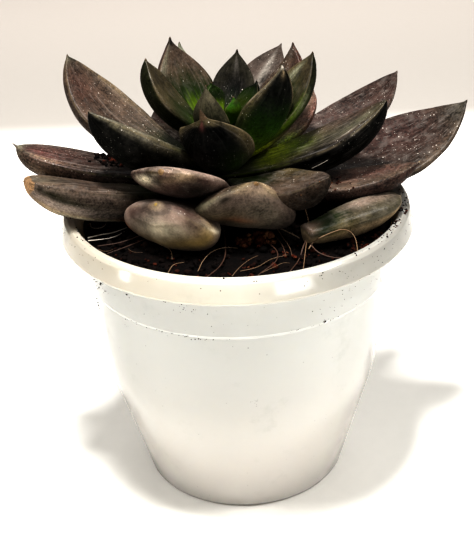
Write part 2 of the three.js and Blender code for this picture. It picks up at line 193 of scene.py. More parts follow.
OUTER_LEAVES = [
    dict(turn=177.4, reach=49.4, top=90.4, root=80.4, wide=15.6, thick=6.9, sag=0.047, bend=0.8,
         peak=0.52, tip=0.72, cup=0.16, roll=6, over=0.27, spine=1.4,
         back="plum", foot="plum", bloom=0.35, streak=0.8, edge=0.4, dust=1, heel=0, light=1.6,
         stains=(
             (0.9, 90, 0.08, 120, "sage", 0.6), (0.66, 70, 0.16, 50, "wine", 0.5),
             (0.62, 325, 0.25, 25, "tan_grey", 0.25), (0.72, 30, 0.2, 16, "tan_grey", 0.35),
             # Painted shade: near-black all round the root, where the leaf runs in under the others
             (0.25, 90, 0.22, 200, "near_black", 0.95),
         )),
    dict(turn=194.2, reach=46.9, top=87, root=77, wide=17, thick=9.3, sag=0.028, tip=0.39, cup=0.11,
         roll=12.4, over=0.24, spine=0.4, uneven=0.35, furrows=((0.94, 0.05, 0.8, 0.45, 0.97),),
         face="plum_brown", back="mauve", foot="plum", end="tan", bloom=0.4, streak=0.5, edge=0.2,
         dust=0.5, heel=0.25, cap=0.13, light=1.3,
         stains=(
             # Painted shade: the black-green and near-black from 330 to 350 degrees darken the furrow,
             # and the black-green at the root is shade under the leaves above. The chalk at 288 degrees
             # is painted light on the underside.
             (0.8, 80, 0.2, 45, "sage", 0.3), (0.72, 344, 0.17, 9, "black_green", 1),
             (0.9, 340, 0.03, 30, "near_black", 0.6), (0.5, 60, 0.2, 60, "plum", 0.6),
             (0.6, 315, 0.25, 14, "wax", 0.4), (0.55, 290, 0.3, 12, "khaki", 0.5),
             (0.2, 0, 0.25, 120, "black_green", 0.8), (0.39, 295, 0.03, 10, "rust", 1),
             (0.81, 350, 0.03, 12, "near_black", 0.8), (0.63, 332, 0.16, 7, "black_green", 0.9),
             (0.52, 288, 0.15, 9, "chalk", 1),
         )),
    dict(turn=152, reach=42, top=107, root=82, wide=19, thick=7, sag=0.15, bend=0.68, tip=0.9,
         face="plum_brown", back="plum_brown", foot="olive", bloom=0.25, streak=0.5, edge=0.9, dust=0.7,
         heel=0.2,
         stains=(
             (0.68, 165, 0.3, 24, "tan_grey", 0.7), (0.7, 60, 0.15, 50, "wine", 0.4),
             (0.95, 90, 0.06, 200, "sage", 0.6),
         )),
    dict(turn=10, reach=63.5, top=94, root=79, wide=22, sag=0.12, bend=0.68, tip=1, roll=16,
         back="plum", foot="plum", bloom=0.5, edge=0.3, dust=1, calm=0.25, heel=0, light=0.92,
         stains=(
             # Painted shade: the near-black and black-green near the root, under the leaves over it
             (0.36, 150, 0.14, 60, "near_black", 0.9), (0.6, 170, 0.3, 30, "tan_grey", 0.25),
             (0.9, 90, 0.15, 90, "sage", 0.4), (0.3, 100, 0.2, 100, "black_green", 0.6),
             (0.5, 60, 0.2, 40, "wine", 0.3),
         )),
    dict(turn=-10, reach=48.4, top=86.1, root=80.6, wide=16.1, thick=5.8, sag=0.097, side=-0.011,
         neck=0.23, tip=0.81, cup=0.2, roll=-5.3, over=0.33, spine=0.9, uneven=0.3,
         face="plum_brown", back="plum", foot="plum", end="tan_grey", bloom=0.35, edge=0.1, dust=1,
         heel=0, light=1.2,
         stains=(
             (0.6, 70, 0.3, 40, "wine", 0.5), (0.65, 180, 0.3, 14, "plum", 0.8),
             # Painted shade: near-black all round the root, under the leaves over it
             (0.2, 90, 0.2, 200, "near_black", 0.8),
         )),
    dict(turn=-45.6, reach=35.4, top=90.6, root=82.1, wide=14.8, thick=6.8, sag=0.094, side=-0.026,
         neck=0.33, peak=0.42, tip=0.67, cup=0.26, roll=6.4, over=0.28, spine=0.9, uneven=0.3,
         face="plum_brown", back="plum_brown", foot="olive", end="umber", bloom=0.5, edge=0.5, dust=0.5,
         heel=0.2, light=0.85,
         stains=(
             (0.8, 60, 0.15, 70, "mauve", 0.6), (0.4, 20, 0.2, 40, "olive", 0.6),
             # Painted shade: near-black over the underside
             (0.6, 270, 0.5, 60, "near_black", 0.8),
         )),
    dict(turn=-69, reach=25, top=89, root=77, wide=24, thick=9, sag=0.07, neck=0.45, peak=0.6, tip=0.6,
         cup=-0.35, roll=-16, spine=0.8, thorn=0.9, uneven=0.4,
         face="plum_brown", back="mauve", foot="plum", end="amber", bloom=0.35, edge=0.3, dust=0.6,
         gloss=0.08, calm=0.6, heel=0, light=1.15,
         stains=(
             (0.86, 140, 0.12, 50, "black_green", 0.7), (0.79, 204, 0.07, 14, "near_black", 0.9),
             (0.88, 345, 0.08, 20, "near_black", 0.8), (0.62, 180, 0.14, 14, "sage", 0.7),
             (0.6, 287, 0.2, 30, "chalk", 0.45), (0.55, 230, 0.15, 60, "olive", 0.5),
             (0.9, 90, 0.05, 200, "tan_grey", 0.6), (0.57, 261, 0.05, 20, "rust", 0.3),
             (0.6, 40, 0.2, 40, "near_black", 0.6),
         )),
    dict(turn=-118.5, reach=26.7, top=93, root=79.9, wide=22.8, thick=6.1, sag=0.015, side=0.011,
         neck=0.47, peak=0.63, tip=0.45, cup=0.01, roll=5.3, over=0.35, thorn=0.9, uneven=0.4,
         face="mauve", back="plum", foot="plum", end="amber", bloom=0.6, streak=0.1, edge=0.2, dust=0.7,
         gloss=0.15, calm=0.5, heel=0, cap=0.04, light=1.9,
         stains=(
             (0.74, 222, 0.06, 30, "plum", 0.8), (0.82, 228, 0.1, 22, "chalk", 1),
             (0.93, 195, 0.03, 30, "umber", 0.8), (0.84, 259, 0.05, 10, "near_black", 0.9),
             (0.9, 90, 0.02, 400, "near_black", 0.6), (0.85, 330, 0.08, 60, "tan_grey", 0.4),
             # Painted shade: the near-black at 308 degrees, on the side that lies under the leaves above
             (0.62, 308, 0.16, 36, "near_black", 0.9), (0.58, 0, 0.1, 25, "mauve", 0.4),
         )),
    dict(turn=-121.6, reach=26.2, top=84.4, root=75, wide=25.1, thick=11.5, sag=0.12, side=0.05,
         neck=0.21, peak=0.65, tip=0.52, cup=-0.12, roll=0.1, over=0.37, thorn=1.5, uneven=0.45,
         face="mauve", back="mauve", foot="mauve", end="khaki", bloom=0.45, streak=0.1, edge=0.3,
         gloss=0.05, calm=0.75, heel=0, cap=0.01, light=1.5,
         stains=(
             (0.75, 285, 0.12, 45, "chalk", 0.9), (0.87, 320, 0.06, 40, "mauve", 0.8),
             (0.84, 205, 0.1, 34, "plum", 0.9), (0.8, 30, 0.14, 45, "plum", 1),
             (0.74, 352, 0.1, 25, "plum_brown", 0.7), (0.62, 320, 0.07, 60, "khaki", 0.9),
             (0.55, 10, 0.12, 8, "chalk", 0.8), (0.92, 90, 0.013, 400, "near_black", 0.6),
             (0.965, 90, 0.02, 400, "tan_grey", 0.7), (0.64, 212, 0.03, 12, "rust", 0.6),
         )),
    # The next two leaves stand at the back in deep shade: their black stain over nearly all of them,
    # their black foot and their low light are painted shadow
    dict(turn=128, reach=44, top=84, root=80, wide=19, thick=7, sag=0.05, uneven=0.3,
         face="plum_brown", back="plum", foot="soot", gloss=0, heel=0, light=0.4,
         stains=((0.2, 90, 0.4, 500, "soot", 1),)),
    dict(turn=104, reach=48, top=86, root=77, wide=20, thick=7, sag=0.05, uneven=0.3,
         back="plum", foot="soot", gloss=0, heel=0, light=0.6,
         stains=((0.2, 90, 0.4, 500, "soot", 1),)),
    dict(turn=80, reach=47, top=87, root=80, wide=19, thick=7, sag=0.05, uneven=0.3,
         back="plum_brown", foot="olive", bloom=0.35, dust=0.5, heel=0.15),
    dict(turn=57, reach=45, top=83, root=77, thick=7, sag=0.05, uneven=0.3,
         face="plum_brown", back="mauve", foot="plum", bloom=0.45, dust=0.6, heel=0),
]

MIDDLE_LEAVES = [
    dict(turn=204, reach=32, top=104, root=83, wide=17, thick=8, sag=0.07, neck=0.7, roll=14, clasp=4,
         face="grey_green", edge=0.8, dust=0.8, gloss=0.35, wrap_and_light=0.2, heel=0.28, light=1.8),
    dict(turn=34, reach=57, top=95, wide=17, thick=5, sag=0.12, bend=0.68,
         back="plum", foot="plum_brown", bloom=0.5, edge=0.5, dust=0.8, heel=0.2, light=1.05),
    dict(turn=-2, reach=40.5, top=99.5, root=82, wide=16, thick=8, bend=0.65, neck=0.75, roll=-2,
         clasp=4.5,
         face="umber", bloom=0.2, streak=0.8, edge=0.8, dust=0.6, gloss=0.35, heel=0.16, light=0.9,
         stains=(
             # Painted light: the lime where the leaf lies in the shade of the one in front
             (0.37, 75, 0.08, 45, "heel_green", 1), (0.29, 80, 0.06, 60, "lime", 1),
             # Painted highlight: the thin pale grit streak at 142 degrees
             (0.62, 142, 0.06, 3, "grit", 0.6), (0.48, 174, 0.16, 32, "soot", 1),
             (0.62, 158, 0.1, 14, "plum", 0.6), (0.62, 50, 0.14, 40, "mauve", 0.6),
             (0.7, 40, 0.2, 40, "wine", 0.3), (0.66, 110, 0.2, 30, "sage", 0.4),
         )),
    dict(turn=176, reach=17.5, top=111, root=91, wide=14, thick=5, sag=0.12, tip=0.95,
         face="umber", back="black_green", bloom=0.15, edge=0.9, dust=0.5, gloss=0.35, heel=0.3,
         light=1.4),
    dict(turn=127.2, reach=19.5, top=111.6, root=88.9, wide=17.2, thick=5.4, sag=0.106, side=0.02,
         neck=0.37, peak=0.485, tip=1.33, cup=0.19, roll=9.7, over=0.25,
         face="plum_brown", back="plum", bloom=0.25, edge=0.9, gloss=0.12, heel=0.42, light=1.05,
         stains=((0.9, 90, 0.06, 400, "near_black", 0.8), (0.66, 30, 0.2, 20, "sage", 0.5))),
    dict(turn=110.8, reach=26.8, top=107.3, root=85.5, wide=9.1, thick=4.5, sag=0.087, side=0.03,
         peak=0.523, tip=1.145, roll=3.1,
         face="sage", back="sage", bloom=0.2, heel=0.3),
    dict(turn=62.5, reach=34.4, top=104, root=90.9, wide=13.1, thick=5.2, sag=0.085, side=0.07,
         neck=0.39, peak=0.53, tip=0.97, cup=0.24, roll=-2.9, over=0.32,
         face="mauve", back="plum_brown", edge=0.9, gloss=0.15, heel=0.2, light=0.42,
         # Painted highlight: the thin pale grit streak at 93 degrees
         stains=((0.62, 93, 0.2, 9, "grit", 0.6), (0.6, 160, 0.2, 16, "wine", 0.5))),
    dict(turn=33, reach=22.5, top=110, root=85, wide=17, thick=5, sag=0.14, side=-0.1, peak=0.4, tip=1,
         face="plum_brown", back="plum_brown", bloom=0.5, dust=1, heel=0.1,
         # Painted light: the lime near the root, deep in the shaded heart
         stains=((0.7, 200, 0.3, 90, "wine", 0.6), (0.2, 194, 0.08, 40, "lime", 1))),
    dict(turn=11, reach=23.3, top=110, root=86.5, wide=15, thick=5, sag=0.103, side=0.036, neck=0.41,
         peak=0.49, tip=1, roll=9,
         face="umber", back="black_green", bloom=0.2, edge=0.9, gloss=0.35, heel=0.45, light=1.8,
         stains=(
             (0.75, 175, 0.2, 20, "near_black", 0.7), (0.66, 60, 0.16, 14, "sage", 0.7),
             (0.45, 182, 0.12, 26, "heel_green", 1), (0.55, 196, 0.08, 10, "sage", 0.8),
         )),
    dict(turn=37, reach=30, top=95.5, root=86, wide=12.5, thick=4.5, sag=0.14, tip=0.6,
         face="plum_brown", back="plum_brown", bloom=0.5, edge=0.4, dust=1, heel=0.2, light=2.2,
         stains=((0.7, 180, 0.3, 60, "wine", 0.5), (0.4, 176, 0.1, 40, "heel_green", 0.8))),
    dict(turn=92, reach=28, top=93.5, wide=17, thick=5,
         back="plum", heel=0.3),
]

INNER_LEAVES = [
    # Its face's colour reaches far round onto the black back: a painted band of light under the margins
    dict(turn=-101.5, reach=18.7, top=103.3, root=87.1, wide=18.5, thick=7.2, sag=0.155, side=0.143,
         neck=0.345, peak=0.64, tip=0.99, cup=0.28, roll=-12, spine=2.3, thorn=0.88,
         face="umber", back="soot", foot="deep_green", bloom=0.1, edge=1, gloss=0.03, wrap_and_light=0.44,
         heel=0.3, cap=0.06, light=0.95,
         stains=((0.89, 268, 0.05, 12, "wine", 0.8), (0.45, 320, 0.12, 24, "deep_green", 0.9))),
    dict(turn=-24, reach=16.3, top=111, root=87, thick=5, sag=0.128, side=-0.025, neck=0.4, peak=0.52,
         tip=1.19, cup=0.4, roll=-9.5,
         face="umber", bloom=0.1, edge=0.8, dust=0.5, gloss=0.16, wrap_and_light=0.3, heel=0.35, light=1.35,
         stains=(
             # Painted highlight: the thin margin-coloured streak at 288 degrees
             (0.62, 288, 0.25, 7, "margin", 0.8), (0.93, 235, 0.03, 40, "grit", 0.8),
             (0.86, 240, 0.05, 12, "tan_grey", 0.7), (0.38, 270, 0.14, 80, "fresh_green", 0.8),
             (0.26, 280, 0.12, 90, "heel_green", 0.8),
         )),
    dict(turn=74, reach=15, top=108, root=93, wide=10.5, thick=4.5, peak=0.48, tip=1.1,
         face="grey_green", back="black_green", bloom=0.05, streak=0.1, edge=0.9, gloss=0.03, heel=0.2,
         light=0.5,
         # Painted highlight: the thin wax streak at 93 degrees
         stains=((0.42, 95, 0.18, 50, "soot", 1), (0.72, 93, 0.12, 8, "wax", 0.8))),
    dict(turn=-115, reach=7.8, top=106.6, root=90, wide=10, thick=3, sag=0.167, side=0.076, neck=0.33,
         peak=0.45, tip=1.23, roll=-5.5, spine=0.7, uneven=0.08,
         face="umber", back="grey_green", bloom=0.1, edge=0.7, gloss=0.3, heel=0.5, light=1.3),
    dict(turn=30, reach=9.5, top=103, root=95, wide=7, thick=3, tip=1.1, spine=0.7, uneven=0.08,
         face="deep_green", back="deep_green", bloom=0.1, edge=0.7, gloss=0.1, heel=0.6, light=0.2),
    dict(turn=140, reach=3.5, top=104, root=95, wide=7, thick=2.8, sag=0.08, tip=1.1, spine=0.7,
         uneven=0.08,
         face="deep_green", back="deep_green", bloom=0.1, edge=0.7, gloss=0.12, heel=0.5, light=1.7),
    dict(turn=-45, reach=3.4, top=101.8, root=95.5, wide=4.6, thick=3, sag=0.09, tip=1.25, uneven=0.08,
         face="deep_green", back="fresh_green", bloom=0.1, edge=0.7, gloss=0.12, heel=0.7, light=1.6,
         stains=((0.8, 260, 0.12, 60, "umber", 0.6),)),
]

# The leaf that lies on the soil at the front right, given by its two ends
ROOTED_LEAF = dict(
    start=(15.6, -23.4, 76.5), finish=(39.3, -10.3, 78.8), wide=8.6, thick=7.9, sag=0.046, side=0.019,
    neck=0.52, peak=0.61, tip=0.56, cup=0.2, roll=12.2, over=0.42, spine=0.5, uneven=0.35,
    face="grey_green", back="tan_grey", foot="plum_brown", end="umber", bloom=0.45, edge=0.1, calm=0.3,
    heel=0.2, light=1.5,
    stains=(
        (0.5, 80, 0.4, 35, "mauve", 0.8), (0.54, 114, 0.15, 16, "black_green", 0.5),
        (0.25, 165, 0.15, 40, "khaki", 0.5), (0.95, 90, 0.06, 200, "tan_grey", 0.7),
    ),
)

# Coarse roots: radius, tone from 0 brown to 1 white, and plan points with a lift over the soil.
# Those of the stem start at its axis, and those of the rooted leaf in its lower end.
STEM_ROOTS = [
    (0.2, 0.05, [(-20, -10, 0.2), (-28, -15, 0), (-33.5, -16, 0.1)]),
    (0.18, 0, [(-19, -12, 0), (-26.5, -18, 0.3), (-31, -20, 0)]),
    (0.2, 0, [(-3, -20, 0.2), (-4, -29, 0.2), (-8, -35, 0)]),
    (0.18, 0.05, [(6, -18, 0.2), (9, -27, 0.4), (4, -34.5, 0)]),
    (0.22, 0.1, [(7, -13, 0), (10, -20, 0.2), (11, -26, 0.1)]),
    (0.25, 0.2, [(14, 12, 0.2), (24, 20, 0), (31, 20, 0)]),
    (0.22, 0.1, [(-10, 18, 0.2), (-18, 28, 0), (-20, 32, 0)]),
]
LEAF_ROOTS = [
    (0.2, 0.1, [(16, -22.6, 2.4), (15, -25, 1.6), (14, -27.5, 0.2), (11.5, -33, 0)]),
    (0.18, 0.1, [(16, -22.8, 2.4), (19, -27, 1), (25, -27.5, 0.3), (28, -24.8, 0.4)]),
]

# Fine roots on the soil: radius, tone, and plan points with a lift
FINE_ROOTS = [
    (0.17, 0.9, [(-35.9, -13.7, 1.4), (-33.2, -11.8, 0.9), (-30.2, -10.4, 0.5), (-26.9, -8, 0.3)]),
    (0.15, 0.9, [(-35.8, -14.8, 1.2), (-32.8, -14, 0.8), (-29.8, -12.7, 0.5), (-27.5, -10.1, 0.3)]),
    (0.1, 0.6, [
        (-36.3, -3.7, 0.4), (-35.3, -7.2, 0.8), (-33.7, -7.9, 0.9), (-32.6, -6.9, 0.8),
        (-32.3, -4, 0.3),
    ]),
    (0.1, 0.5, [
        (-9.4, -31.5, 0.2), (-8, -27.7, 0.9), (-5.7, -24.4, 1.2), (-2.9, -22.6, 0.9),
        (-0.1, -21.8, 0.2),
    ]),
    (0.09, 0.4, [(-1.7, -34.2, 0.1), (0.2, -31.4, 0.7), (2.5, -28.6, 0.9), (4.5, -25.8, 0.3)]),
    (0.09, 0.5, [(0.2, -32.4, 0.2), (3.8, -31.7, 0.6), (7.6, -28.1, 0.6), (11.4, -25.9, 0.3)]),
    (0.08, 0.4, [(5.1, -33.3, 0.2), (7.9, -31.6, 0.5), (10.3, -29.8, 0.5), (11.7, -29.5, 0.2)]),
    (0.07, 0.3, [(-33.2, -17.7, 0.3), (-31.2, -19.5, 0.5), (-29.6, -18.6, 0.3)]),
    (0.06, 0.3, [(-26, -18.9, 0.3), (-24.5, -21.1, 0.5), (-22.4, -21.3, 0.3)]),
    (0.14, 0.5, [(-18.9, -18.5, 2), (-17.9, -20.7, 1.6), (-16, -21.9, 0.8), (-15.4, -25.5, 0.2)]),
    (0.1, 0.5, [(-16.2, -31.4, 0.3), (-14.9, -28.6, 0.6), (-12.6, -27.3, 0.3)]),
    (0.2, 0.55, [
        (4, -12.5, 3), (6.8, -14.4, 2.4), (9.6, -16.3, 2.2), (12.3, -18.7, 2), (14.5, -21, 1.8),
    ]),
    (0.12, 0.2, [(9.3, -16.3, 2.2), (10.6, -19.6, 1.4), (12, -23.4, 0.7), (12.3, -26.5, 0.3)]),
    (0.17, 0.4, [
        (16, -8.6, 5), (16.6, -14.3, 4.6), (16.8, -18.6, 3.6), (15.7, -24.8, 1.8), (14.5, -32.7, 0.3),
    ]),
    (0.17, 0.5, [
        (16.2, -25.2, 1.2), (17.6, -24, 2.5), (19, -24.4, 3.7), (20.7, -23.9, 4.3), (22.3, -23.4, 4.7),
        (24, -22.8, 4.9), (25.7, -22.2, 4.3), (27, -22.3, 3.1), (27.5, -24.3, 1.9), (27.3, -27.4, 1.6),
        (26.9, -30.8, -2),
    ]),
    (0.1, 0.9, [(18.4, -6.9, 13.2), (20.4, -7.3, 14.4), (22.2, -7.6, 15.6)]),
]

# Clumps of bark on the soil: plan point, spread, number, size and tone from 0 peat to 1 straw
BARK_CLUMPS = [
    (5.7, -18, 2.4, 60, 1.1, 0.93),
    (2.2, -19.5, 1.8, 20, 0.9, 0.88),
    (2, -31, 1.6, 10, 0.45, 0.85),
    (-14.8, -27.1, 1.2, 6, 0.35, 0.8),
    (-31, -6, 2, 14, 0.5, 0.75),
    (14, -27, 1.8, 12, 0.5, 0.85),
    (11.5, -25.5, 1.4, 9, 0.45, 0.9),
    (20, -25.5, 2, 12, 0.4, 0.75),
    (23, -9, 2.5, 26, 0.6, 0.85),
    (33, -16.5, 2.2, 30, 0.5, 0.7),
    (28, -22, 2.5, 26, 0.45, 0.75),
    (-20, 26, 3, 20, 0.6, 0.85),
    (24, 22, 3, 24, 0.7, 0.85),
]

# Crumbs on the outside of the pot, between two heights: turn, height, their spreads, number and size
POT_CRUMB_HEIGHTS = (2, 74.8)
POT_CRUMBS = [
    (-118, 57.3, 11, 0.3, 22, 0.14),
    (-105, 57, 2.5, 0.3, 12, 0.15),
    (-64, 58, 5, 0.25, 14, 0.13),
    (-155, 62.3, 5, 1, 22, 0.13),
    (-163, 53.3, 1, 1, 5, 0.24),
    (-150, 63.1, 0.3, 0.2, 2, 0.27),
    (-133, 64.9, 0.3, 0.1, 2, 0.24),
    (-116.4, 66.1, 0.2, 0.1, 2, 0.22),
    (-108, 65.3, 3, 0.6, 9, 0.14),
    (-64.6, 62.2, 0.2, 0.1, 2, 0.24),
    (-64.8, 73.8, 0.4, 0.2, 3, 0.22),
    (-60, 58.1, 0.3, 0.1, 3, 0.22),
    (-85.2, 74.5, 0.8, 0.1, 4, 0.15),
    (-45, 63, 12, 2.5, 40, 0.1),
    (-120, 63, 25, 3.5, 40, 0.09),
    (-50, 72.5, 18, 1.2, 30, 0.1),
    (-150, 73.5, 18, 0.8, 26, 0.1),
    (-86, 38.6, 1.5, 0.6, 10, 0.08),
    (90, 63, 80, 5, 60, 0.11),
    (20, 73, 40, 1.2, 40, 0.12),
]

# Crumbs on the lip of the pot, between two radii: turn, its spread, number and size
LIP_RADII = (40.5, 42.3)
LIP_CRUMBS = [
    (-24, 2.5, 20, 0.2),
    (-14, 1.5, 14, 0.3),
    (-8, 3, 10, 0.18),
    (-33, 2, 10, 0.16),
    (-43, 5, 12, 0.13),
    (-168, 4, 8, 0.16),
    (-158, 6, 6, 0.16),
    (60, 60, 40, 0.18),
]

# Crumbs on leaves: the rows and which of them, place and spreads along and around, number, size and
# tone. None lies nearer to the tip than the last place.
LAST_CRUMB = 0.98
LEAF_CRUMBS = [
    (OUTER_LEAVES, 0, 0.35, 105, 0.03, 14, 60, 0.6, 0.84),
    (OUTER_LEAVES, 0, 0.37, 98, 0.04, 14, 40, 0.55, 0.3),
    (OUTER_LEAVES, 4, 0.44, 120, 0.03, 30, 40, 0.3, 0.88),
    (OUTER_LEAVES, 4, 0.46, 200, 0.03, 20, 16, 0.25, 0.8),
    (OUTER_LEAVES, 5, 0.8, 150, 0.08, 40, 16, 0.12, 1),
    (MIDDLE_LEAVES, 7, 0.6, 250, 0.2, 40, 60, 0.1, 0.95),
    (MIDDLE_LEAVES, 9, 0.7, 128, 0.15, 40, 30, 0.1, 0.9),
    (MIDDLE_LEAVES, 0, 0.3, 120, 0.04, 30, 14, 0.2, 0.7),
]

# Lamps, in metres: name, place, the two sides and the power. They all face one point.
LAMP_AIM = (0, 0, 0.06)
LAMPS = [
    ("top_lamp", (-0.05, -0.12, 0.85), (0.12, 0.12), 12),
    ("left_lamp", (-0.45, -0.15, 0.7), (0.2, 0.2), 3.4),
    ("right_lamp", (0.45, -0.15, 0.7), (0.2, 0.2), 4.4),
    ("back_lamp", (0.1, 0.6, 0.7), (0.6, 0.3), 1.5),
    ("left_window", (-0.9, -0.29, 0.04), (0.12, 0.3), 1.4),
    ("right_window", (0.5, -0.8, 0.1), (0.36, 0.3), 3.2),
]

# The even light of the room, and the gamma that the picture is shown with
ROOM_COLOUR = (1, 0.94, 0.85, 1)
ROOM_STRENGTH = 0.2
PICTURE_GAMMA = 0.7

# What the camera faces, in millimetres, and the longer side of its sensor
CAMERA_AIM = (-0.6, 0, 52.4)
SENSOR = 36


def paint(red, green, blue):
    """A colour as a Blender user would pick it, from 0 to 255, as scene-linear values."""
    shares = (value / 255 for value in (red, green, blue))
    return tuple(round(s / 12.92 if s <= 0.04045 else ((s + 0.055) / 1.055) ** 2.4, 4) for s in shares)


def colour_property(label, about, default):
    """A colour swatch."""
    return bpy.props.FloatVectorProperty(
        name=label, description=about, default=paint(*default), size=3, min=0, max=1, subtype="COLOR")


def length_property(label, about, default):
    """A length in millimetres, kept in metres."""
    return bpy.props.FloatProperty(
        name=label, description=about, default=default * MM, min=0, unit="LENGTH", subtype="DISTANCE")


def share_property(label, about, default):
    """A share from 0 to 1."""
    return bpy.props.FloatProperty(
        name=label, description=about, default=default, min=0, max=1, subtype="FACTOR")


def angle_property(label, about, default):
    """An angle in degrees, kept in radians."""
    return bpy.props.FloatProperty(
        name=label, description=about, default=radians(default), subtype="ANGLE")


def count_property(label, about, default):
    """A number of like things."""
    return bpy.props.IntProperty(name=label, description=about, default=default, min=0)


# Shader kit


class Wire:
    """A shader socket. Sums on it add their Math nodes."""

    def __init__(self, finish, socket):
        self.finish = finish
        self.socket = socket

    def maths(self, operation, *values):
        """The result of one Math node."""
        return self.finish.node("Math", {"operation": operation}, dict(enumerate(values)))

    def within(self, low, high):
        """The value, kept between two limits."""
        return self.finish.node("Clamp", inputs={0: self, 1: low, 2: high})

    def __add__(self, other):
        return self.maths("ADD", self, other)

    def __sub__(self, other):
        return self.maths("SUBTRACT", self, other)

    def __rsub__(self, other):
        return self.maths("SUBTRACT", other, self)

    def __mul__(self, other):
        return self.maths("MULTIPLY", self, other)

    def __abs__(self):
        return self.maths("ABSOLUTE", self)

    __radd__ = __add__
    __rmul__ = __mul__


class Finish:
    """A material that is being built up from nodes."""

    def __init__(self, name):
        self.material = bpy.data.materials.new(name)
        self.material.use_nodes = True
        self.tree = self.material.node_tree
        self.tree.nodes.clear()

    def node(self, kind, settings=None, inputs=None, output=0):
        """Adds a node with its settings and the values or links of its inputs."""
        made = self.tree.nodes.new("ShaderNode" + kind)
        for key, value in (settings or {}).items():
            if key == "stops":
                self.set_stops(made.color_ramp.elements, value)
            else:
                setattr(made, key, value)
        for key, value in (inputs or {}).items():
            socket = made.inputs[key]
            if isinstance(value, Wire):
                self.tree.links.new(value.socket, socket)
            elif socket.type == "RGBA":
                socket.default_value = (*value, 1)
            else:
                socket.default_value = value
        return Wire(self, made.outputs[output]) if made.outputs else None

    @staticmethod
    def set_stops(elements, stops):
        """Gives a colour ramp its stops of place and colour."""
        while len(elements) < len(stops):
            elements.new(1)
        for element, (place, colour) in zip(elements, stops):
            element.position = place
            element.color = (*colour, 1)

    def place(self):
        """Object coordinates, in metres."""
        return self.node("TexCoord", output="Object")

    def attribute(self, name, output="Fac"):
        """A value that the mesh keeps at its points."""
        return self.node("Attribute", {"attribute_name": name}, output=output)

    def noise(self, place, scale, detail=3, roughness=0.55):
        """Cloudy noise, about 0.3 to 0.7."""
        inputs = {"Vector": place, "Scale": scale, "Detail": detail, "Roughness": roughness}
        return self.node("TexNoise", inputs=inputs)

    def parts(self, vector):
        """The three numbers of a vector."""
        first = self.node("SeparateXYZ", inputs={0: vector})
        return [Wire(self, output) for output in first.socket.node.outputs]

    def rise(self, value, low, high):
        """0 below low, 1 above high and smooth between."""
        inputs = {"Value": value, "From Min": low, "From Max": high}
        return self.node("MapRange", {"interpolation_type": "SMOOTHSTEP"}, inputs)

    def mix(self, share, first, second):
        """One colour into another."""
        inputs = {0: share, 6: first, 7: second}
        return self.node("Mix", {"data_type": "RGBA"}, inputs, output=2)

    def shade(self, colour, value):
        """A colour made lighter or darker."""
        return self.node("VectorMath", {"operation": "SCALE"}, {0: colour, "Scale": value})

    def specks(self, place, scale, size, share):
        """Round spots of a size, in cells of a scale, on a share of the cells."""
        cells = {"Vector": place, "Scale": scale}
        spots = 1 - self.rise(self.node("TexVoronoi", inputs=cells), size * 0.6, size)
        tint = self.node("TexVoronoi", inputs=cells, output="Color")
        pick = self.node("SeparateColor", inputs={0: tint})
        return spots * self.rise(pick, 1 - share, 1.02 - share)

    def bump(self, height, distance, strength=1):
        """Fine relief of a height, with its distance in metres."""
        return self.node("Bump", inputs={"Height": height, "Distance": distance, "Strength": strength})

    def surface(self, inputs):
        """The shader and the output."""
        shader = self.node("BsdfPrincipled", inputs=inputs)
        self.node("OutputMaterial", inputs={"Surface": shader})
        return self.material


# Mesh kit


def finish_piece(name, bm, material, nodes=(), merge=True):
    """Turns a bmesh in millimetres into a piece at the origin, in metres."""
    if merge:
        bmesh.ops.remove_doubles(bm, verts=bm.verts[:], dist=MERGE_DISTANCE)
    bmesh.ops.recalc_face_normals(bm, faces=bm.faces[:])
    bmesh.ops.scale(bm, vec=(MM, MM, MM), verts=bm.verts[:])
    for face in bm.faces:
        face.smooth = True
    mesh = bpy.data.meshes.new(name)
    bm.to_mesh(mesh)
    bm.free()
    mesh.materials.append(material)
    piece = bpy.data.objects.new(name, mesh)
    bpy.context.scene.collection.objects.link(piece)
    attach(piece, "root")
    for node in nodes:
        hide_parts(node)


def toned_mesh():
    """An empty mesh whose points keep a tone, and the layer of it."""
    bm = bmesh.new()
    return bm, bm.verts.layers.float.new("tone")


def place_on_ball(vert):
    """Where a point of a ball is: from its lower pole (0) to its upper (1), and around."""
    return acos(max(-1, min(1, -vert.co.z))) / pi, atan2(vert.co.y, vert.co.x)


def plan_point(radius, angle):
    """The plan position at a radius and an angle."""
    return radius * cos(angle), radius * sin(angle)


def turned(bm, profile, steps):
    """Turns a profile of radius and height points about Z."""
    verts = [bm.verts.new((r, 0, z)) for r, z in profile]
    edges = [bm.edges.new(pair) for pair in zip(verts, verts[1:])]
    bmesh.ops.spin(
        bm, geom=verts + edges, angle=2 * pi, steps=steps, axis=(0, 0, 1), cent=(0, 0, 0), use_merge=True)
    bmesh.ops.remove_doubles(bm, verts=bm.verts[:], dist=MERGE_DISTANCE)


def wobble(point, size, amount):
    """A shift by smooth noise with dents of a size."""
    return noise.noise_vector(Vector(point) / size) * amount


def axis_at(z):
    """The plan position of the rosette's axis at a height."""
    share = (z - LEAN_LOW.z) / (LEAN_HIGH.z - LEAN_LOW.z)
    point = LEAN_LOW.lerp(LEAN_HIGH, share)
    return Vector((point.x, point.y, z))


def radius_at(profile, z):
    """The radius at a height on a profile."""
    for (r0, z0), (r1, z1) in zip(profile, profile[1:]):
        if z0 <= z <= z1:
            return r0 + (r1 - r0) * (z - z0) / (z1 - z0)
    return profile[-1][0]


def soil_height(x, y):
    """The height of the soil's smooth surface."""
    share = min(hypot(x, y) / SOIL_EDGE, 1)
    return SOIL_MIDDLE - SOIL_DROP * share * share


# Leaves


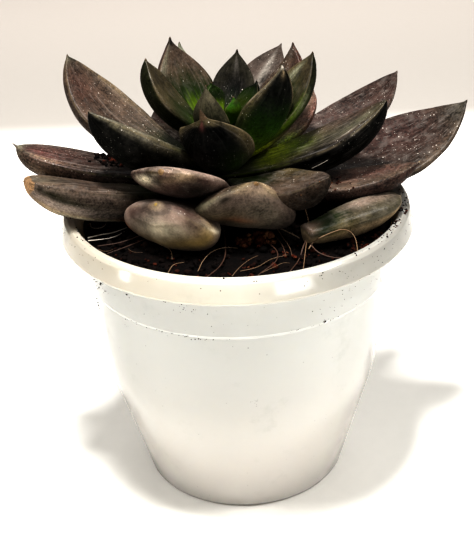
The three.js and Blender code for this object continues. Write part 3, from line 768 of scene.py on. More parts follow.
class Leaf:
    """The shape of one leaf: a ball drawn out along a bent line."""

    def __init__(self, row):
        row = self.row = {**LEAF, **row}
        if "start" in row:
            start = Vector(row["start"])
            end = Vector(row["finish"])
        else:
            out = Vector((*plan_point(1, radians(row["turn"])), 0))
            foot = axis_at(row["root"])
            start = foot + out * (radius_at(STEM_OUTSIDE, row["root"]) - ROOT_SINK - row["clasp"])
            end = Vector((foot.x, foot.y, row["top"])) + out * row["reach"]
        chord = end - start
        self.sideways = Vector((-chord.y, chord.x, 0)).normalized()
        above = chord.cross(self.sideways).normalized()
        middle = start + chord * row["bend"] - above * (2 * row["sag"] * chord.length)
        middle += self.sideways * (row["side"] * chord.length)
        self.line = (start, middle, end)

    def width_share(self, u):
        """The width at a place along the line, as a share of the widest."""
        neck, peak = self.row["neck"], self.row["peak"]
        if u < peak:
            return neck + (1 - neck) * sin(pi / 2 * u / peak) ** 1.3
        rest = (u - peak) / (1 - peak)
        return max(1 - rest * rest, 0) ** self.row["tip"]

    def thickness_share(self, u):
        """The thickness at a place along the line, as a share of the thickest."""
        if u < THICKEST_AT:
            return ROOT_THICKNESS + THICKENING * sin(pi / 2 * u / THICKEST_AT)
        rest = (u - THICKEST_AT) / (1 - THICKEST_AT)
        return max(1 - rest ** 2.6, 0) ** (0.5 + 0.35 * self.row["tip"])

    def frame_at(self, u):
        """A point of the line with the ways along, aside and up."""
        start, middle, end = self.line
        point = start * (1 - u) ** 2 + middle * (2 * u * (1 - u)) + end * (u * u)
        along = ((middle - start) * (1 - u) + (end - middle) * u).normalized()
        level = (self.sideways - along * self.sideways.dot(along)).normalized()
        side = Matrix.Rotation(radians(self.row["roll"]), 3, along) @ level
        return point, along, side, along.cross(side)

    def depth_at(self, u, sine, cosine):
        """How far the skin is over or under the line, with the keel and the furrows."""
        row = self.row
        share = row["over"] if sine > 0 else 1 - row["over"]
        depth = share * row["thick"] * self.thickness_share(u)
        if sine < 0:
            keel = row["keel"] * exp(-(cosine / KEEL_WIDTH) ** 2)
            depth *= 1 + keel * min(max(u * 2 - 0.7, 0), 1)
        for place, width, deep, first, last in row["furrows"]:
            if first < u < last:
                near = exp(-((cosine - place) / width) ** 2)
                depth -= deep * near * sin(pi * (u - first) / (last - first)) * (1 if sine > 0 else -1)
        return depth

    def point(self, polar, around):
        """A point of the skin, from the pole at the root (0) to the one at the tip (1)."""
        row = self.row
        body = min(polar / BLADE_SHARE, 1)
        u = body - RING_CROWDING * sin(2 * pi * body)
        point, along, side, up = self.frame_at(u)
        sine, cosine = sin(around), cos(around)
        half = row["wide"] / 2 * self.width_share(u)
        depth = self.depth_at(u, sine, cosine)
        if polar > THORN_START:
            reach = row["spine"] * max(polar - BLADE_SHARE, 0) / SPINE_SHARE
            point += (along + up * 0.15) * reach
            thorn = row["thorn"] * max(min((1 - polar) / SPINE_SHARE, 1), 0) ** 0.8
            half = hypot(half, thorn)
            depth = hypot(depth, thorn)
        rim = row["cup"] * row["wide"] / 2 * self.width_share(u) * cosine * cosine
        skin = point + side * (half * cosine) + up * (depth * sine + rim)
        calm = min(polar * END_CALM, (1 - polar) * END_CALM, 1)
        return skin + wobble(skin, DENT_SIZE, row["uneven"] * calm)

    def stained(self, colour, polar, around, palette):
        """A colour of the leaf, mixed with those of the stains that reach a point."""
        mixed = Vector(colour)
        for middle, turn, length, spread, stain, strength in self.row["stains"]:
            gap = (degrees(around) - turn + 180) % 360 - 180
            near = exp(-((polar - middle) / length) ** 2 - (gap / spread) ** 2)
            mixed = mixed.lerp(Vector(getattr(palette, stain)), near * strength)
        return mixed


def leaf_piece(node, row, material, palette):
    """One leaf, with its place along and around kept at every point and its colours beside them."""
    leaf = Leaf(row)
    full = leaf.row
    bm = bmesh.new()
    bmesh.ops.create_uvsphere(bm, u_segments=LEAF_SIDES, v_segments=LEAF_RINGS, radius=1)
    places = [bm.verts.layers.float.new(key) for key in LEAF_PLACES]
    values = [(bm.verts.layers.float_vector.new(name), keys) for name, keys in LEAF_VALUES.items()]
    tones = [(bm.verts.layers.float_color.new(key), key) for key in LEAF_TONES]
    for vert in bm.verts:
        polar, around = place_on_ball(vert)
        for layer, place in zip(places, (polar, cos(around), sin(around))):
            vert[layer] = place
        for layer, keys in values:
            vert[layer] = tuple(full[key] for key in keys)
        for layer, key in tones:
            colour = getattr(palette, full[key])
            if key in ("face", "back"):
                colour = leaf.stained(colour, polar, around, palette)
            vert[layer] = (*(Vector(colour) * full["light"]), 1)
        vert.co = leaf.point(polar, around)
    finish_piece(f"skin_of_{node}", bm, material, (node,), merge=False)


def leaf_finish(name, palette, shine):
    """Leaf skin: dark above, darker below, green at the root, with lines, wax and specks."""
    made = Finish(name)
    place = made.place()
    along, across, above = (made.attribute(key) for key in LEAF_PLACES)
    bloom, streak, edge = made.parts(made.attribute("habit", "Vector"))
    heel, cap, dust = made.parts(made.attribute("reach", "Vector"))
    gloss, wrap_and_light, calm = made.parts(made.attribute("skin", "Vector"))
    face, back, foot, end = (made.attribute(key, "Color") for key in LEAF_TONES)

    # Grain runs along the leaf, and the other noises from coarse to fine lie evenly on it
    grain_place = made.node("CombineXYZ", inputs={0: along * 2, 1: across * 7, 2: above * 5})
    drift = made.node("VectorMath", {"operation": "MULTIPLY"}, {0: place, 1: (60, 60, 60)})
    grain_place = made.node("VectorMath", {"operation": "ADD"}, {0: grain_place, 1: drift})
    grain = made.noise(grain_place, 1.6, detail=5, roughness=0.6)
    clouds = made.noise(place, 130, detail=4)
    blots = made.noise(place, 430, detail=4, roughness=0.65)
    fine = made.noise(place, 1700, roughness=0.7)

    # The face above and the back below, mottled. The face's colour reaching round onto the back is
    # partly painted light: a lit band under the margins
    folded_and_lit = wrap_and_light * (made.rise(along, 0.78, 0.9) + 1)
    upper = made.rise(above + folded_and_lit + (clouds - 0.5) * 0.4, -0.25, 0.2)
    crisp = (blots - 0.5) * 1.8 + (fine - 0.5) * (dust * 3 + 1.2)
    soft = (clouds - 0.5) * 2.4 + crisp * (1 - calm * 0.8)
    mottle = soft + (grain - 0.5) * (streak * 2 + 0.5) * (1 - calm) + 1
    tone = made.shade(made.mix(upper, back, face), mottle.within(0.25, 2))

    # The deep green and the foot's colour, up to a wavy line across the leaf
    wave = along + (grain - 0.5) * 0.24 + (clouds - 0.5) * 0.1 + abs(across) * 0.08
    fresh = 0.3 + upper * 0.7
    deep = (1 - made.rise(wave, heel, heel + 0.3)) * made.rise(heel, 0, 0.2) * fresh
    tone = made.mix(deep, tone, palette.deep_green)
    tone = made.mix((1 - made.rise(wave, heel - 0.15, heel + 0.05)) * fresh, tone, foot)

    # Pale lines and wax
    tone = made.mix(made.rise(grain, 0.55, 0.68) * streak * (0.1 + upper * 0.4), tone, palette.wax)
    rough_veil = made.noise(place, 420, detail=4, roughness=0.6) * (1 - calm)
    veil = rough_veil + made.noise(place, 210, detail=2) * calm
    film = made.rise(veil, 0.45, 0.7) * bloom * (0.35 + upper * 0.65)
    tone = made.mix(film * 0.5, tone, palette.wax)

    # The margins and the tip
    rim_tone = made.mix(made.rise(along, 0.25, 0.5), palette.heel_green, palette.margin)
    rim = (1 - made.rise(abs(above), 0.02, 0.12)) * edge * made.rise(blots, 0.3, 0.6)
    tone = made.mix(rim * 0.7, tone, rim_tone)
    brink = made.rise(along + (blots - 0.5) * 0.04, 0.985 - cap, 1 - cap)
    tone = made.mix(brink, tone, made.shade(end, mottle.within(0.4, 1.6)))

    # Scratches and specks of dust
    scratch = made.rise(made.noise(grain_place, 4, roughness=0.6), 0.6, 0.68) * dust * upper
    tone = made.mix(scratch * 0.5, tone, palette.wax)
    grit = made.specks(place, 1100, 0.2, 0.16) + made.specks(place, 2200, 0.26, 0.16) * 0.7
    grit = grit * made.rise(clouds, 0.42, 0.58) * (0.2 + upper * 0.8)
    grit = (grit * dust * 2).within(0, 0.9)
    tone = made.mix(grit, tone, palette.grit)

    height = grain * (1 - calm) * 0.5 + blots * 0.5 * bloom
    height = height + (fine * 0.2 + grit * 0.4) * (1 - calm * 0.6)
    return made.surface({
        "Base Color": tone,
        "Roughness": shine + film * 0.3 + (blots - 0.5) * 0.3,
        "Specular IOR Level": 0.02,
        "Coat Weight": ((upper + rim * 2) * gloss).within(0, 0.8),
        "Coat Roughness": 0.33,
        "Normal": made.bump(height, 0.0007, 0.8),
    })


class EcheveriaLeafSettings(bpy.types.PropertyGroup):
    """Colours of the leaves."""

    # Black: the own colour of the darkest undersides, and painted shadow on leaves in deep shade
    soot: colour_property("Soot", "The darkest undersides", (4, 4, 3))
    near_black: colour_property("Near black", "Undersides in the shade", (7, 7, 5))
    black_green: colour_property("Black green", "Upright leaves", (25, 26, 13))
    deep_green: colour_property("Deep green", "Leaves of the heart", (26, 40, 10))
    fresh_green: colour_property("Fresh green", "The youngest leaf", (40, 74, 16))
    heel_green: colour_property("Heel green", "Roots of fresh leaves", (84, 104, 20))
    plum: colour_property("Plum", "Dark faces", (58, 45, 40))
    plum_brown: colour_property("Plum brown", "Older faces", (76, 64, 54))
    grey_green: colour_property("Grey green", "Faces with a green cast", (62, 58, 46))
    mauve: colour_property("Mauve grey", "Old leaves", (96, 84, 76))
    tan_grey: colour_property("Tan grey", "Undersides of old leaves", (124, 110, 88))
    wine: colour_property("Wine", "Reddish patches", (80, 50, 46))
    umber: colour_property("Umber", "Faces near the heart", (60, 53, 37))
    sage: colour_property("Sage", "Grey-green patches", (104, 104, 88))
    chalk: colour_property("Chalk", "The palest patches of old leaves", (158, 150, 132))
    khaki: colour_property("Khaki", "Yellowing undersides", (126, 108, 66))
    # Painted light: a green bright enough to show in the shade deep in the heart
    lime: colour_property("Lime", "Stretched roots deep in the heart", (190, 205, 50))
    rust: colour_property("Rust", "Scars", (150, 80, 36))
    olive: colour_property("Olive", "Roots of older leaves", (84, 76, 42))
    tan: colour_property("Tan", "Dried tips", (132, 108, 82))
    amber: colour_property("Amber", "The scarred tips of old leaves", (92, 75, 54))
    bark_brown: colour_property("Bark brown", "Points of fresh leaves", (74, 61, 47))
    margin: colour_property("Margin", "The pale line along a leaf's edge", (112, 100, 78))
    wax: colour_property("Wax", "Pale bloom", (138, 131, 124))
    grit: colour_property("Grit", "Specks of pale dust", (214, 206, 194))
    shine: share_property("Roughness", "Roughness of the fresh leaves", 0.36)


class LeafOperator:
    """What the operators of the leaves share."""

    rows = ()
    slot = ""
    dulling = 0

    def execute(self, context):
        palette = context.scene.echeveria_leaf
        material = leaf_finish(self.slot + "_skin", palette, palette.shine + self.dulling)
        for count, row in enumerate(self.rows, 1):
            leaf_piece(f"{self.slot}_{count}", row, material, palette)
        self.make_more(material, palette)
        return {"FINISHED"}

    def make_more(self, material, palette):
        """Makes what else a tier has beside its numbered leaves."""


class ECHEVERIA_OT_inner_leaves(LeafOperator, bpy.types.Operator):
    """Makes the upright leaves round the heart"""

    bl_idname = "echeveria.inner_leaves"
    bl_label = "Inner leaves"
    rows = INNER_LEAVES
    slot = "inner_leaf"


class ECHEVERIA_OT_middle_leaves(LeafOperator, bpy.types.Operator):
    """Makes the long pointed leaves"""

    bl_idname = "echeveria.middle_leaves"
    bl_label = "Middle leaves"
    rows = MIDDLE_LEAVES
    slot = "middle_leaf"
    dulling = 0.05


class ECHEVERIA_OT_outer_leaves(LeafOperator, bpy.types.Operator):
    """Makes the lowest, oldest leaves and the one that roots in the soil"""

    bl_idname = "echeveria.outer_leaves"
    bl_label = "Outer leaves"
    rows = OUTER_LEAVES
    slot = "outer_leaf"
    dulling = 0.12

    def make_more(self, material, palette):
        leaf_piece("rooted_leaf", ROOTED_LEAF, material, palette)


# Pot


class EcheveriaPotSettings(bpy.types.PropertyGroup):
    """Sizes and colours of the pot."""

    wall: length_property("Wall", "Thickness of the pot's wall", 1.2)
    floor: length_property("Floor", "Thickness of the pot's floor", 1.6)
    white: colour_property("White", "The pot's plastic", (185, 185, 182))
    # Painted light and shade across the rim, from left to right: shaded cream, lit white, grey shade
    shaded_left_cream: colour_property("Cream", "The left of the rim", (179, 173, 161))
    bright: colour_property("Bright", "The middle of the rim", (188, 184, 174))
    pale: colour_property("Pale", "The right of the rim", (156, 154, 148))
    # Painted shade: the plastic towards the foot, a little darker and warmer
    shade: colour_property("Lower white", "The plastic towards the foot", (186, 182, 177))
    dirt: colour_property("Dirt", "Specks of soil on the plastic", (52, 38, 30))
    gloss: share_property("Roughness", "Roughness of the plastic", 0.13)


def pot_finish(settings):
    """White translucent plastic with a faint wave, smudges and specks of soil, most near the rim,
    with painted shade at its sides and foot, and painted light and shade across the rim.
    """
    made = Finish("pot_plastic_white")
    place = made.place()
    across, _, height = made.parts(place)
    clouds = made.noise(place, 40, detail=4)
    smudge = made.rise(made.noise(place, 90, detail=5, roughness=0.7), 0.55, 0.8)
    # Painted shade: a little darker and warmer towards the foot
    tone = made.mix(made.rise(height, 0.01, 0.06), settings.shade, settings.white)
    # Painted light and shade across the rim, by how far left or right it lies
    stops = [(0.1, settings.shaded_left_cream), (0.5, settings.bright), (0.76, settings.pale)]
    rim = made.node("ValToRGB", {"stops": stops}, {0: across * 12 + 0.5})
    tone = made.mix(made.rise(height, 0.0685, 0.07), tone, rim)
    # Darker far to the left and right: painted shade on the sides that turn away from the light
    tone = made.shade(tone, 0.97 + clouds * 0.06 - made.rise(abs(across), 0.018, 0.042) * 0.2)
    tone = made.mix(smudge * 0.12, tone, settings.dirt)
    near = made.rise(height, 0.045, 0.058) * 0.6 + 0.2
    specks = made.specks(place, 700, 0.14, 0.08) * near
    tone = made.mix(specks, tone, settings.dirt)
    return made.surface({
        "Base Color": tone,
        "Roughness": settings.gloss + smudge * 0.1 + (clouds - 0.5) * 0.1,
        "Subsurface Weight": 0.35,
        "Subsurface Radius": (1.0, 0.9, 0.75),
        "Subsurface Scale": 0.003,
        "Normal": made.bump(clouds, 0.0006, 0.15),
    })


class ECHEVERIA_OT_pot(bpy.types.Operator):
    """Makes the nursery pot with its step and folded rim"""

    bl_idname = "echeveria.pot"
    bl_label = "Pot"

    def execute(self, context):
        settings = context.scene.echeveria_pot
        wall = settings.wall / MM
        floor = settings.floor / MM
        inside = [(r - wall, z) for r, z in reversed(POT_OUTSIDE[1:])]
        profile = [*POT_UNDERSIDE, *POT_OUTSIDE, *POT_RIM, *inside]
        profile += [(POT_OUTSIDE[0][0] - wall, floor), (0, floor)]
        bm = bmesh.new()
        turned(bm, profile, POT_STEPS)
        bmesh.ops.recalc_face_normals(bm, faces=bm.faces[:])
        sharp = [edge for edge in bm.edges if edge.is_manifold and edge.calc_face_angle() > POT_SHARP]
        bmesh.ops.bevel(
            bm, geom=sharp, offset=POT_BEVEL, affect="EDGES", segments=2, profile=0.5, material=-1)
        finish_piece("white_pot", bm, pot_finish(settings), ("pot",))
        return {"FINISHED"}


# Soil


class EcheveriaSoilSettings(bpy.types.PropertyGroup):
    """Sizes and colours of the soil."""

    crumbs: count_property("Crumbs", "Crumbs lying on the soil", 1500)
    peat: colour_property("Peat", "The darkest soil", (8, 5, 4))
    earth: colour_property("Earth", "Dark brown crumbs", (27, 17, 13))
    bark: colour_property("Bark", "Reddish brown bits", (84, 40, 26))
    straw: colour_property("Straw", "The palest bits", (138, 96, 66))


def soil_finish(name, settings, own_tone):
    """Damp peat: its tone comes from the point in the crumbs and from noise in the ground."""
    made = Finish(name)
    place = made.place()
    clouds = made.noise(place, 300, detail=5, roughness=0.7)
    fine = made.noise(place, 1400)
    tone = made.attribute("tone") if own_tone else made.rise(clouds, 0.35, 0.9) * 0.6
    stops = [(0, settings.peat), (0.6, settings.earth), (0.88, settings.bark), (1, settings.straw)]
    colour = made.node("ValToRGB", {"stops": stops}, {0: tone + (fine - 0.5) * 0.25})
    return made.surface({
        "Base Color": made.shade(colour, 0.6 + fine * 0.8),
        "Roughness": 0.7 + fine * 0.3,
        "Specular IOR Level": 0.1,
        "Normal": made.bump(clouds + fine, 0.0006, 0.8),
    })


def lump(bm, layer, tone, centre, size, draw):
    """One irregular crumb of few faces."""
    turn = Matrix.Rotation(draw.uniform(0, 2 * pi), 4, "Z")
    spin = turn @ Matrix.Rotation(draw.uniform(0, 1), 4, "X")
    squash = Matrix.Diagonal((size, size * draw.uniform(0.6, 1), size * CRUMB_FLATNESS, 1))
    matrix = Matrix.Translation(centre) @ spin @ squash
    made = bmesh.ops.create_icosphere(bm, subdivisions=1, radius=1, matrix=matrix)
    for vert in made["verts"]:
        vert.co += Vector([draw.uniform(-CRUMB_DENTS, CRUMB_DENTS) * size for _ in range(3)])
        vert[layer] = tone


class ECHEVERIA_OT_soil(bpy.types.Operator):
    """Makes the ground in the pot and the crumbs and bark chips on it"""

    bl_idname = "echeveria.soil"
    bl_label = "Soil"

    def execute(self, context):
        settings = context.scene.echeveria_soil
        self.make_ground(settings)
        self.make_crumbs(settings)
        return {"FINISHED"}

    def make_ground(self, settings):
        """A round sheet of dents with a skirt down into the pot, closed below."""
        bm = bmesh.new()
        bmesh.ops.create_grid(bm, x_segments=GROUND_CELLS, y_segments=GROUND_CELLS, size=1)
        for vert in bm.verts:
            x, y = vert.co.x, vert.co.y
            x, y = x * (1 - y * y / 2) ** 0.5, y * (1 - x * x / 2) ** 0.5
            vert.co = (x * SOIL_EDGE, y * SOIL_EDGE, 0)
            calm = min((1 - hypot(x, y)) * 12, 1)
            rough = wobble(vert.co, 6, 0.5).z + wobble(vert.co, 2, 0.5).z + wobble(vert.co, 0.9, 0.25).z
            vert.co.z = soil_height(vert.co.x, vert.co.y) - GROUND_SINK + rough * calm
        rim = [edge for edge in bm.edges if edge.is_boundary]
        made = bmesh.ops.extrude_edge_only(bm, edges=rim)
        skirt = [item for item in made["geom"] if isinstance(item, bmesh.types.BMVert)]
        for vert in skirt:
            vert.co = Vector((vert.co.x * GROUND_TAPER, vert.co.y * GROUND_TAPER, GROUND_FLOOR))
        bmesh.ops.contextual_create(bm, geom=skirt)
        material = soil_finish("soil_ground", settings, False)
        finish_piece("ground", bm, material, ("soil",))

    def make_crumbs(self, settings):
        """Crumbs all over the soil, and clumps of bark in their places."""
        draw = random.Random(SOIL_SEED)
        bm, tone = toned_mesh()
        for _ in range(settings.crumbs):
            x, y = plan_point((SOIL_EDGE - 1) * draw.random() ** 0.5, draw.uniform(0, 2 * pi))
            size = 0.35 + 0.9 * draw.random() ** 3
            z = soil_height(x, y) + size * 0.2 + wobble((x, y, 0), 6, 0.5).z
            lump(bm, tone, draw.random() ** 1.6 * 0.8, (x, y, z), size, draw)
        for x, y, spread, count, size, shade in BARK_CLUMPS:
            for _ in range(count):
                spot = (x + draw.gauss(0, spread / 2), y + draw.gauss(0, spread / 2))
                z = soil_height(*spot) + draw.random() * size * 1.6
                tint = shade + draw.uniform(-0.15, 0.1)
                lump(bm, tone, tint, (*spot, z), size * draw.uniform(0.4, 1), draw)
        material = soil_finish("soil_crumbs", settings, True)
        finish_piece("soil_crumbs", bm, material, merge=False)


class ECHEVERIA_OT_crumbs(bpy.types.Operator):
    """Makes the crumbs of soil that lie on the pot and on the leaves"""

    bl_idname = "echeveria.crumbs"
    bl_label = "Crumbs"

    def execute(self, context):
        settings = context.scene.echeveria_soil
        material = soil_finish("crumb_soil", settings, True)
        self.on_pot(material)
        self.on_leaves(material)
        return {"FINISHED"}

    def on_pot(self, material):
        """Crumbs on the pot's outside and on its lip."""
        draw = random.Random(POT_SEED)
        bm, tone = toned_mesh()
        lowest, highest = POT_CRUMB_HEIGHTS
        for turn, height, turns, heights, count, size in POT_CRUMBS:
            for _ in range(count):
                angle = radians(draw.gauss(turn, turns))
                z = min(max(draw.gauss(height, heights), lowest), highest)
                radius = radius_at(POT_OUTSIDE if z < NECK_HEIGHT else POT_SKIRT, z) + size * 0.1
                spot = (*plan_point(radius, angle), z)
                lump(bm, tone, draw.uniform(0.2, 0.8), spot, size * draw.uniform(0.5, 1.2), draw)
        for turn, turns, count, size in LIP_CRUMBS:
            for _ in range(count):
                angle = radians(draw.gauss(turn, turns))
                spot = (*plan_point(draw.uniform(*LIP_RADII), angle), POT_HEIGHT + size * 0.2)
                lump(bm, tone, draw.uniform(0.1, 0.8), spot, size * draw.uniform(0.4, 1.6), draw)
        finish_piece("pot_crumbs", bm, material, merge=False)

    def on_leaves(self, material):
        """Crumbs and dust that lie on leaves, piled up where they are large."""
        draw = random.Random(LEAF_SEED)
        bm, tone = toned_mesh()
        for rows, which, along, around, reach, turns, count, size, shade in LEAF_CRUMBS:
            leaf = Leaf(rows[which])
            for _ in range(count):
                place = min(draw.gauss(along, reach), LAST_CRUMB)
                spot = leaf.point(place, radians(draw.gauss(around, turns)))
                spot.z += draw.random() * max(size - 0.15, 0) * 3
                tint = shade + draw.uniform(-0.3, 0.1)
                lump(bm, tone, tint, spot, size * draw.uniform(0.5, 1.3), draw)
        finish_piece("leaf_crumbs", bm, material, merge=False)


# Stem


class EcheveriaStemSettings(bpy.types.PropertyGroup):
    """Colours of the stem."""

    bark: colour_property("Bark", "The old stem", (98, 78, 54))
    scar: colour_property("Scars", "Where old leaves came off", (140, 118, 86))
    # Kept dark: partly painted shade, where the stem stands deep in the heart
    green: colour_property("Green", "The stem at the heart", (24, 42, 12))


def stem_finish(settings):
    """Rough bark that turns green towards the heart."""
    made = Finish("stem_bark")
    place = made.place()
    _, _, height = made.parts(place)
    clouds = made.noise(place, 350, detail=5, roughness=0.65)
    scars = made.specks(place, 260, 0.45, 0.5)
    tone = made.shade(settings.bark, 0.5 + clouds)
    tone = made.mix(scars * 0.6, tone, settings.scar)
    tone = made.mix(made.rise(height + (clouds - 0.5) * 0.01, 0.078, 0.086), tone, settings.green)
    return made.surface({
        "Base Color": tone,
        "Roughness": 0.6 + clouds * 0.3,
        "Normal": made.bump(clouds + scars, 0.0006, 0.8),
    })


class ECHEVERIA_OT_stem(bpy.types.Operator):
    """Makes the stem, with the rings left by old leaves"""

    bl_idname = "echeveria.stem"
    bl_label = "Stem"

    def execute(self, context):
        bm = bmesh.new()
        bmesh.ops.create_uvsphere(bm, u_segments=32, v_segments=72, radius=1)
        low, high = STEM_ENDS
        for vert in bm.verts:
            share, around = place_on_ball(vert)
            z = low + (high - low) * share
            full = min(share * 40, (1 - share) * 14, 1)
            radius = radius_at(STEM_OUTSIDE, z) * full ** 0.5
            radius += STEM_RING * sin(z * 2.6 + 3 * around) * full
            point = axis_at(z) + Vector((*plan_point(radius, around), 0))
            vert.co = point + wobble(point, 2.5, 0.4)
        material = stem_finish(context.scene.echeveria_stem)
        finish_piece("bark_stem", bm, material, ("stem",), merge=False)
        return {"FINISHED"}


# Roots


class EcheveriaRootSettings(bpy.types.PropertyGroup):
    """Colours of the roots."""

    brown: colour_property("Brown", "The darkest roots", (72, 48, 34))
    tan: colour_property("Tan", "Most roots", (122, 98, 72))
    white: colour_property("White", "The freshest roots", (222, 214, 202))


def root_finish(settings):
    """Roots from brown to white, by the tone that each keeps."""
    made = Finish("root_fibre")
    place = made.place()
    clouds = made.noise(place, 500, detail=4)
    tone = made.attribute("tone") + (clouds - 0.5) * 0.25
    stops = [(0.1, settings.brown), (0.5, settings.tan), (1, settings.white)]
    return made.surface({
        "Base Color": made.node("ValToRGB", {"stops": stops}, {0: tone}),
        "Roughness": 0.5 + clouds * 0.2,
        "Normal": made.bump(clouds, 0.0003, 0.6),
    })


def strand(bm, layer, points, radius, tone):
    """A round strand through points, thinner at its far end."""
    data = bpy.data.curves.new("strand", "CURVE")
    data.dimensions = "3D"
    data.bevel_depth = radius
    data.bevel_resolution = 2
    data.resolution_u = 8
    data.use_fill_caps = True
    spline = data.splines.new("BEZIER")
    spline.bezier_points.add(len(points) - 1)
    for count, (knot, point) in enumerate(zip(spline.bezier_points, points)):
        knot.co = point
        knot.handle_left_type = knot.handle_right_type = "AUTO"
        knot.radius = 1 - (1 - ROOT_TAPER) * count / (len(points) - 1)
    helper = bpy.data.objects.new("strand", data)
    mesh = bpy.data.meshes.new_from_object(helper)
    first = len(bm.verts)
    bm.from_mesh(mesh)
    bm.verts.ensure_lookup_table()
    for vert in bm.verts[first:]:
        vert[layer] = tone
    bpy.data.objects.remove(helper)
    bpy.data.meshes.remove(mesh)
    bpy.data.curves.remove(data)


class ECHEVERIA_OT_roots(bpy.types.Operator):
    """Makes the coarse and the fine roots that lie on the soil"""

    bl_idname = "echeveria.roots"
    bl_label = "Roots"

    def execute(self, context):
        material = root_finish(context.scene.echeveria_root)
        origin = axis_at(SOIL_MIDDLE)
        start = (origin.x, origin.y, 0)
        coarse = [(radius, tone, [start, *points]) for radius, tone, points in STEM_ROOTS]
        self.make("coarse_roots", coarse + LEAF_ROOTS, material)
        self.make("fine_roots", FINE_ROOTS, material)
        return {"FINISHED"}

    def make(self, name, rows, material):
        """One piece of the roots of some rows."""
        bm, layer = toned_mesh()
        for radius, tone, points in rows:
            heights = [soil_height(x, y) + GAP + radius + lift for x, y, lift in points]
            path = [Vector((x, y, z)) for (x, y, _), z in zip(points, heights)]
            strand(bm, layer, path, radius, tone)
        finish_piece(name, bm, material)


# Stage


class EcheveriaStageSettings(bpy.types.PropertyGroup):
    """The floor, the lights and the camera."""

    floor: colour_property("Floor", "The table", (236, 234, 229))
    # The backdrop, made paler far back: painted light that evens out how the lamps fall off
    wall: colour_property("Back", "What is behind the table", (172, 167, 161))
    far: colour_property("Far back", "What is far behind the table", (197, 190, 183))
    distance: length_property("Distance", "From the camera to its aim", 320)
    tilt: angle_property("Tilt", "How far the camera looks down", 28.2)
    lean: angle_property("Lean", "How far the camera leans", 2.35)
    lens: bpy.props.FloatProperty(
        name="Lens", description="Focal length for a sensor 36 mm high", default=79.97, min=1)


def area_light(name, place, size, power):
    """A soft rectangular light that faces the plant, in metres."""
    data = bpy.data.lights.new(name, "AREA")
    data.shape = "RECTANGLE"
    data.size, data.size_y = size
    data.energy = power
    light = bpy.data.objects.new(name, data)
    light.location = place
    light.rotation_euler = (Vector(place) - Vector(LAMP_AIM)).to_track_quat("Z", "Y").to_euler()
    bpy.context.scene.collection.objects.link(light)


def stage_finish(settings):
    """A white table that turns to a warm wall far behind, made paler further back as painted light."""
    made = Finish("stage_cloth")
    place = made.place()
    _, depth, _ = made.parts(place)
    weave = made.noise(place, 300, detail=4)
    # Paler further back: painted light that evens out how the lamps fall off
    wall = made.mix(made.rise(depth, 0.26, 0.5), settings.wall, settings.far)
    tone = made.mix(made.rise(depth, 0.225, 0.26), settings.floor, wall)
    return made.surface({
        "Base Color": made.shade(tone, 0.985 + weave * 0.03),
        "Roughness": 0.8 + (weave - 0.5) * 0.1,
        "Specular IOR Level": 0.2,
        "Normal": made.bump(weave, 0.0004, 0.2),
    })


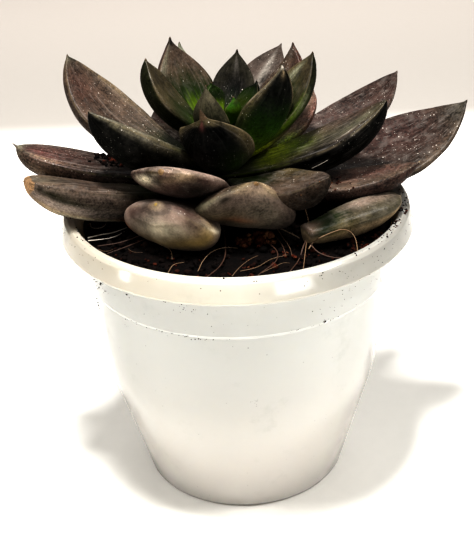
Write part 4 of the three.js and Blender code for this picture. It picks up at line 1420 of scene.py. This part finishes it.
class ECHEVERIA_OT_stage(bpy.types.Operator):
    """Makes the floor, the lights and the camera"""

    bl_idname = "echeveria.stage"
    bl_label = "Stage"

    def execute(self, context):
        settings = context.scene.echeveria_stage
        bm = bmesh.new()
        bmesh.ops.create_grid(bm, x_segments=2, y_segments=2, size=4)
        mesh = bpy.data.meshes.new("table")
        bm.to_mesh(mesh)
        bm.free()
        mesh.materials.append(stage_finish(settings))
        floor = bpy.data.objects.new("table", mesh)
        context.scene.collection.objects.link(floor)
        for lamp in LAMPS:
            area_light(*lamp)
        world = bpy.data.worlds.new("soft_room")
        world.use_nodes = True
        background = world.node_tree.nodes["Background"]
        background.inputs["Color"].default_value = ROOM_COLOUR
        background.inputs["Strength"].default_value = ROOM_STRENGTH
        context.scene.world = world
        context.scene.view_settings.view_transform = "Standard"
        context.scene.view_settings.gamma = PICTURE_GAMMA
        self.place_camera(context, settings)
        return {"FINISHED"}

    def place_camera(self, context, settings):
        """The camera of the photo: turned down, and leaning about its own axis."""
        data = bpy.data.cameras.new("photo_view")
        data.lens = settings.lens
        data.sensor_width = SENSOR
        data.clip_start = 0.01
        camera = bpy.data.objects.new("photo_view", data)
        tilt, lean = settings.tilt, settings.lean
        back = Vector((0, -cos(tilt), sin(tilt)))
        right = Vector((1, 0, 0))
        up = Vector((0, sin(tilt), cos(tilt)))
        across = right * cos(lean) - up * sin(lean)
        upright = right * sin(lean) + up * cos(lean)
        turn = Matrix((across, upright, back)).transposed().to_4x4()
        aim = Vector(CAMERA_AIM) * MM
        camera.matrix_world = Matrix.Translation(aim + back * settings.distance) @ turn
        context.scene.collection.objects.link(camera)
        context.scene.camera = camera


# Panel and registration


class ECHEVERIA_PT_panel(bpy.types.Panel):
    """Lists the operators that make the echeveria"""

    bl_idname = "ECHEVERIA_PT_panel"
    bl_label = "Potted echeveria"
    bl_space_type = "VIEW_3D"
    bl_region_type = "UI"
    bl_category = "Echeveria"

    def draw(self, context):
        for operator in OPERATORS:
            self.layout.operator(operator.bl_idname)


SETTINGS = {
    "echeveria_pot": EcheveriaPotSettings,
    "echeveria_soil": EcheveriaSoilSettings,
    "echeveria_stem": EcheveriaStemSettings,
    "echeveria_leaf": EcheveriaLeafSettings,
    "echeveria_root": EcheveriaRootSettings,
    "echeveria_stage": EcheveriaStageSettings,
}
OPERATORS = (
    ECHEVERIA_OT_pot,
    ECHEVERIA_OT_soil,
    ECHEVERIA_OT_stem,
    ECHEVERIA_OT_inner_leaves,
    ECHEVERIA_OT_middle_leaves,
    ECHEVERIA_OT_outer_leaves,
    ECHEVERIA_OT_crumbs,
    ECHEVERIA_OT_roots,
    ECHEVERIA_OT_stage,
)


def register():
    noise.seed_set(NOISE_SEED)
    for name, group in SETTINGS.items():
        bpy.utils.register_class(group)
        setattr(bpy.types.Scene, name, bpy.props.PointerProperty(type=group))
    for operator in OPERATORS:
        bpy.utils.register_class(operator)
    bpy.utils.register_class(ECHEVERIA_PT_panel)


def unregister():
    bpy.utils.unregister_class(ECHEVERIA_PT_panel)
    for operator in reversed(OPERATORS):
        bpy.utils.unregister_class(operator)
    for name, group in reversed(SETTINGS.items()):
        delattr(bpy.types.Scene, name)
        bpy.utils.unregister_class(group)


def main():
    """Makes everything."""
    register()
    for operator in OPERATORS:
        getattr(bpy.ops.echeveria, operator.bl_idname.split(".")[1])()


if __name__ == "__main__":
    main()
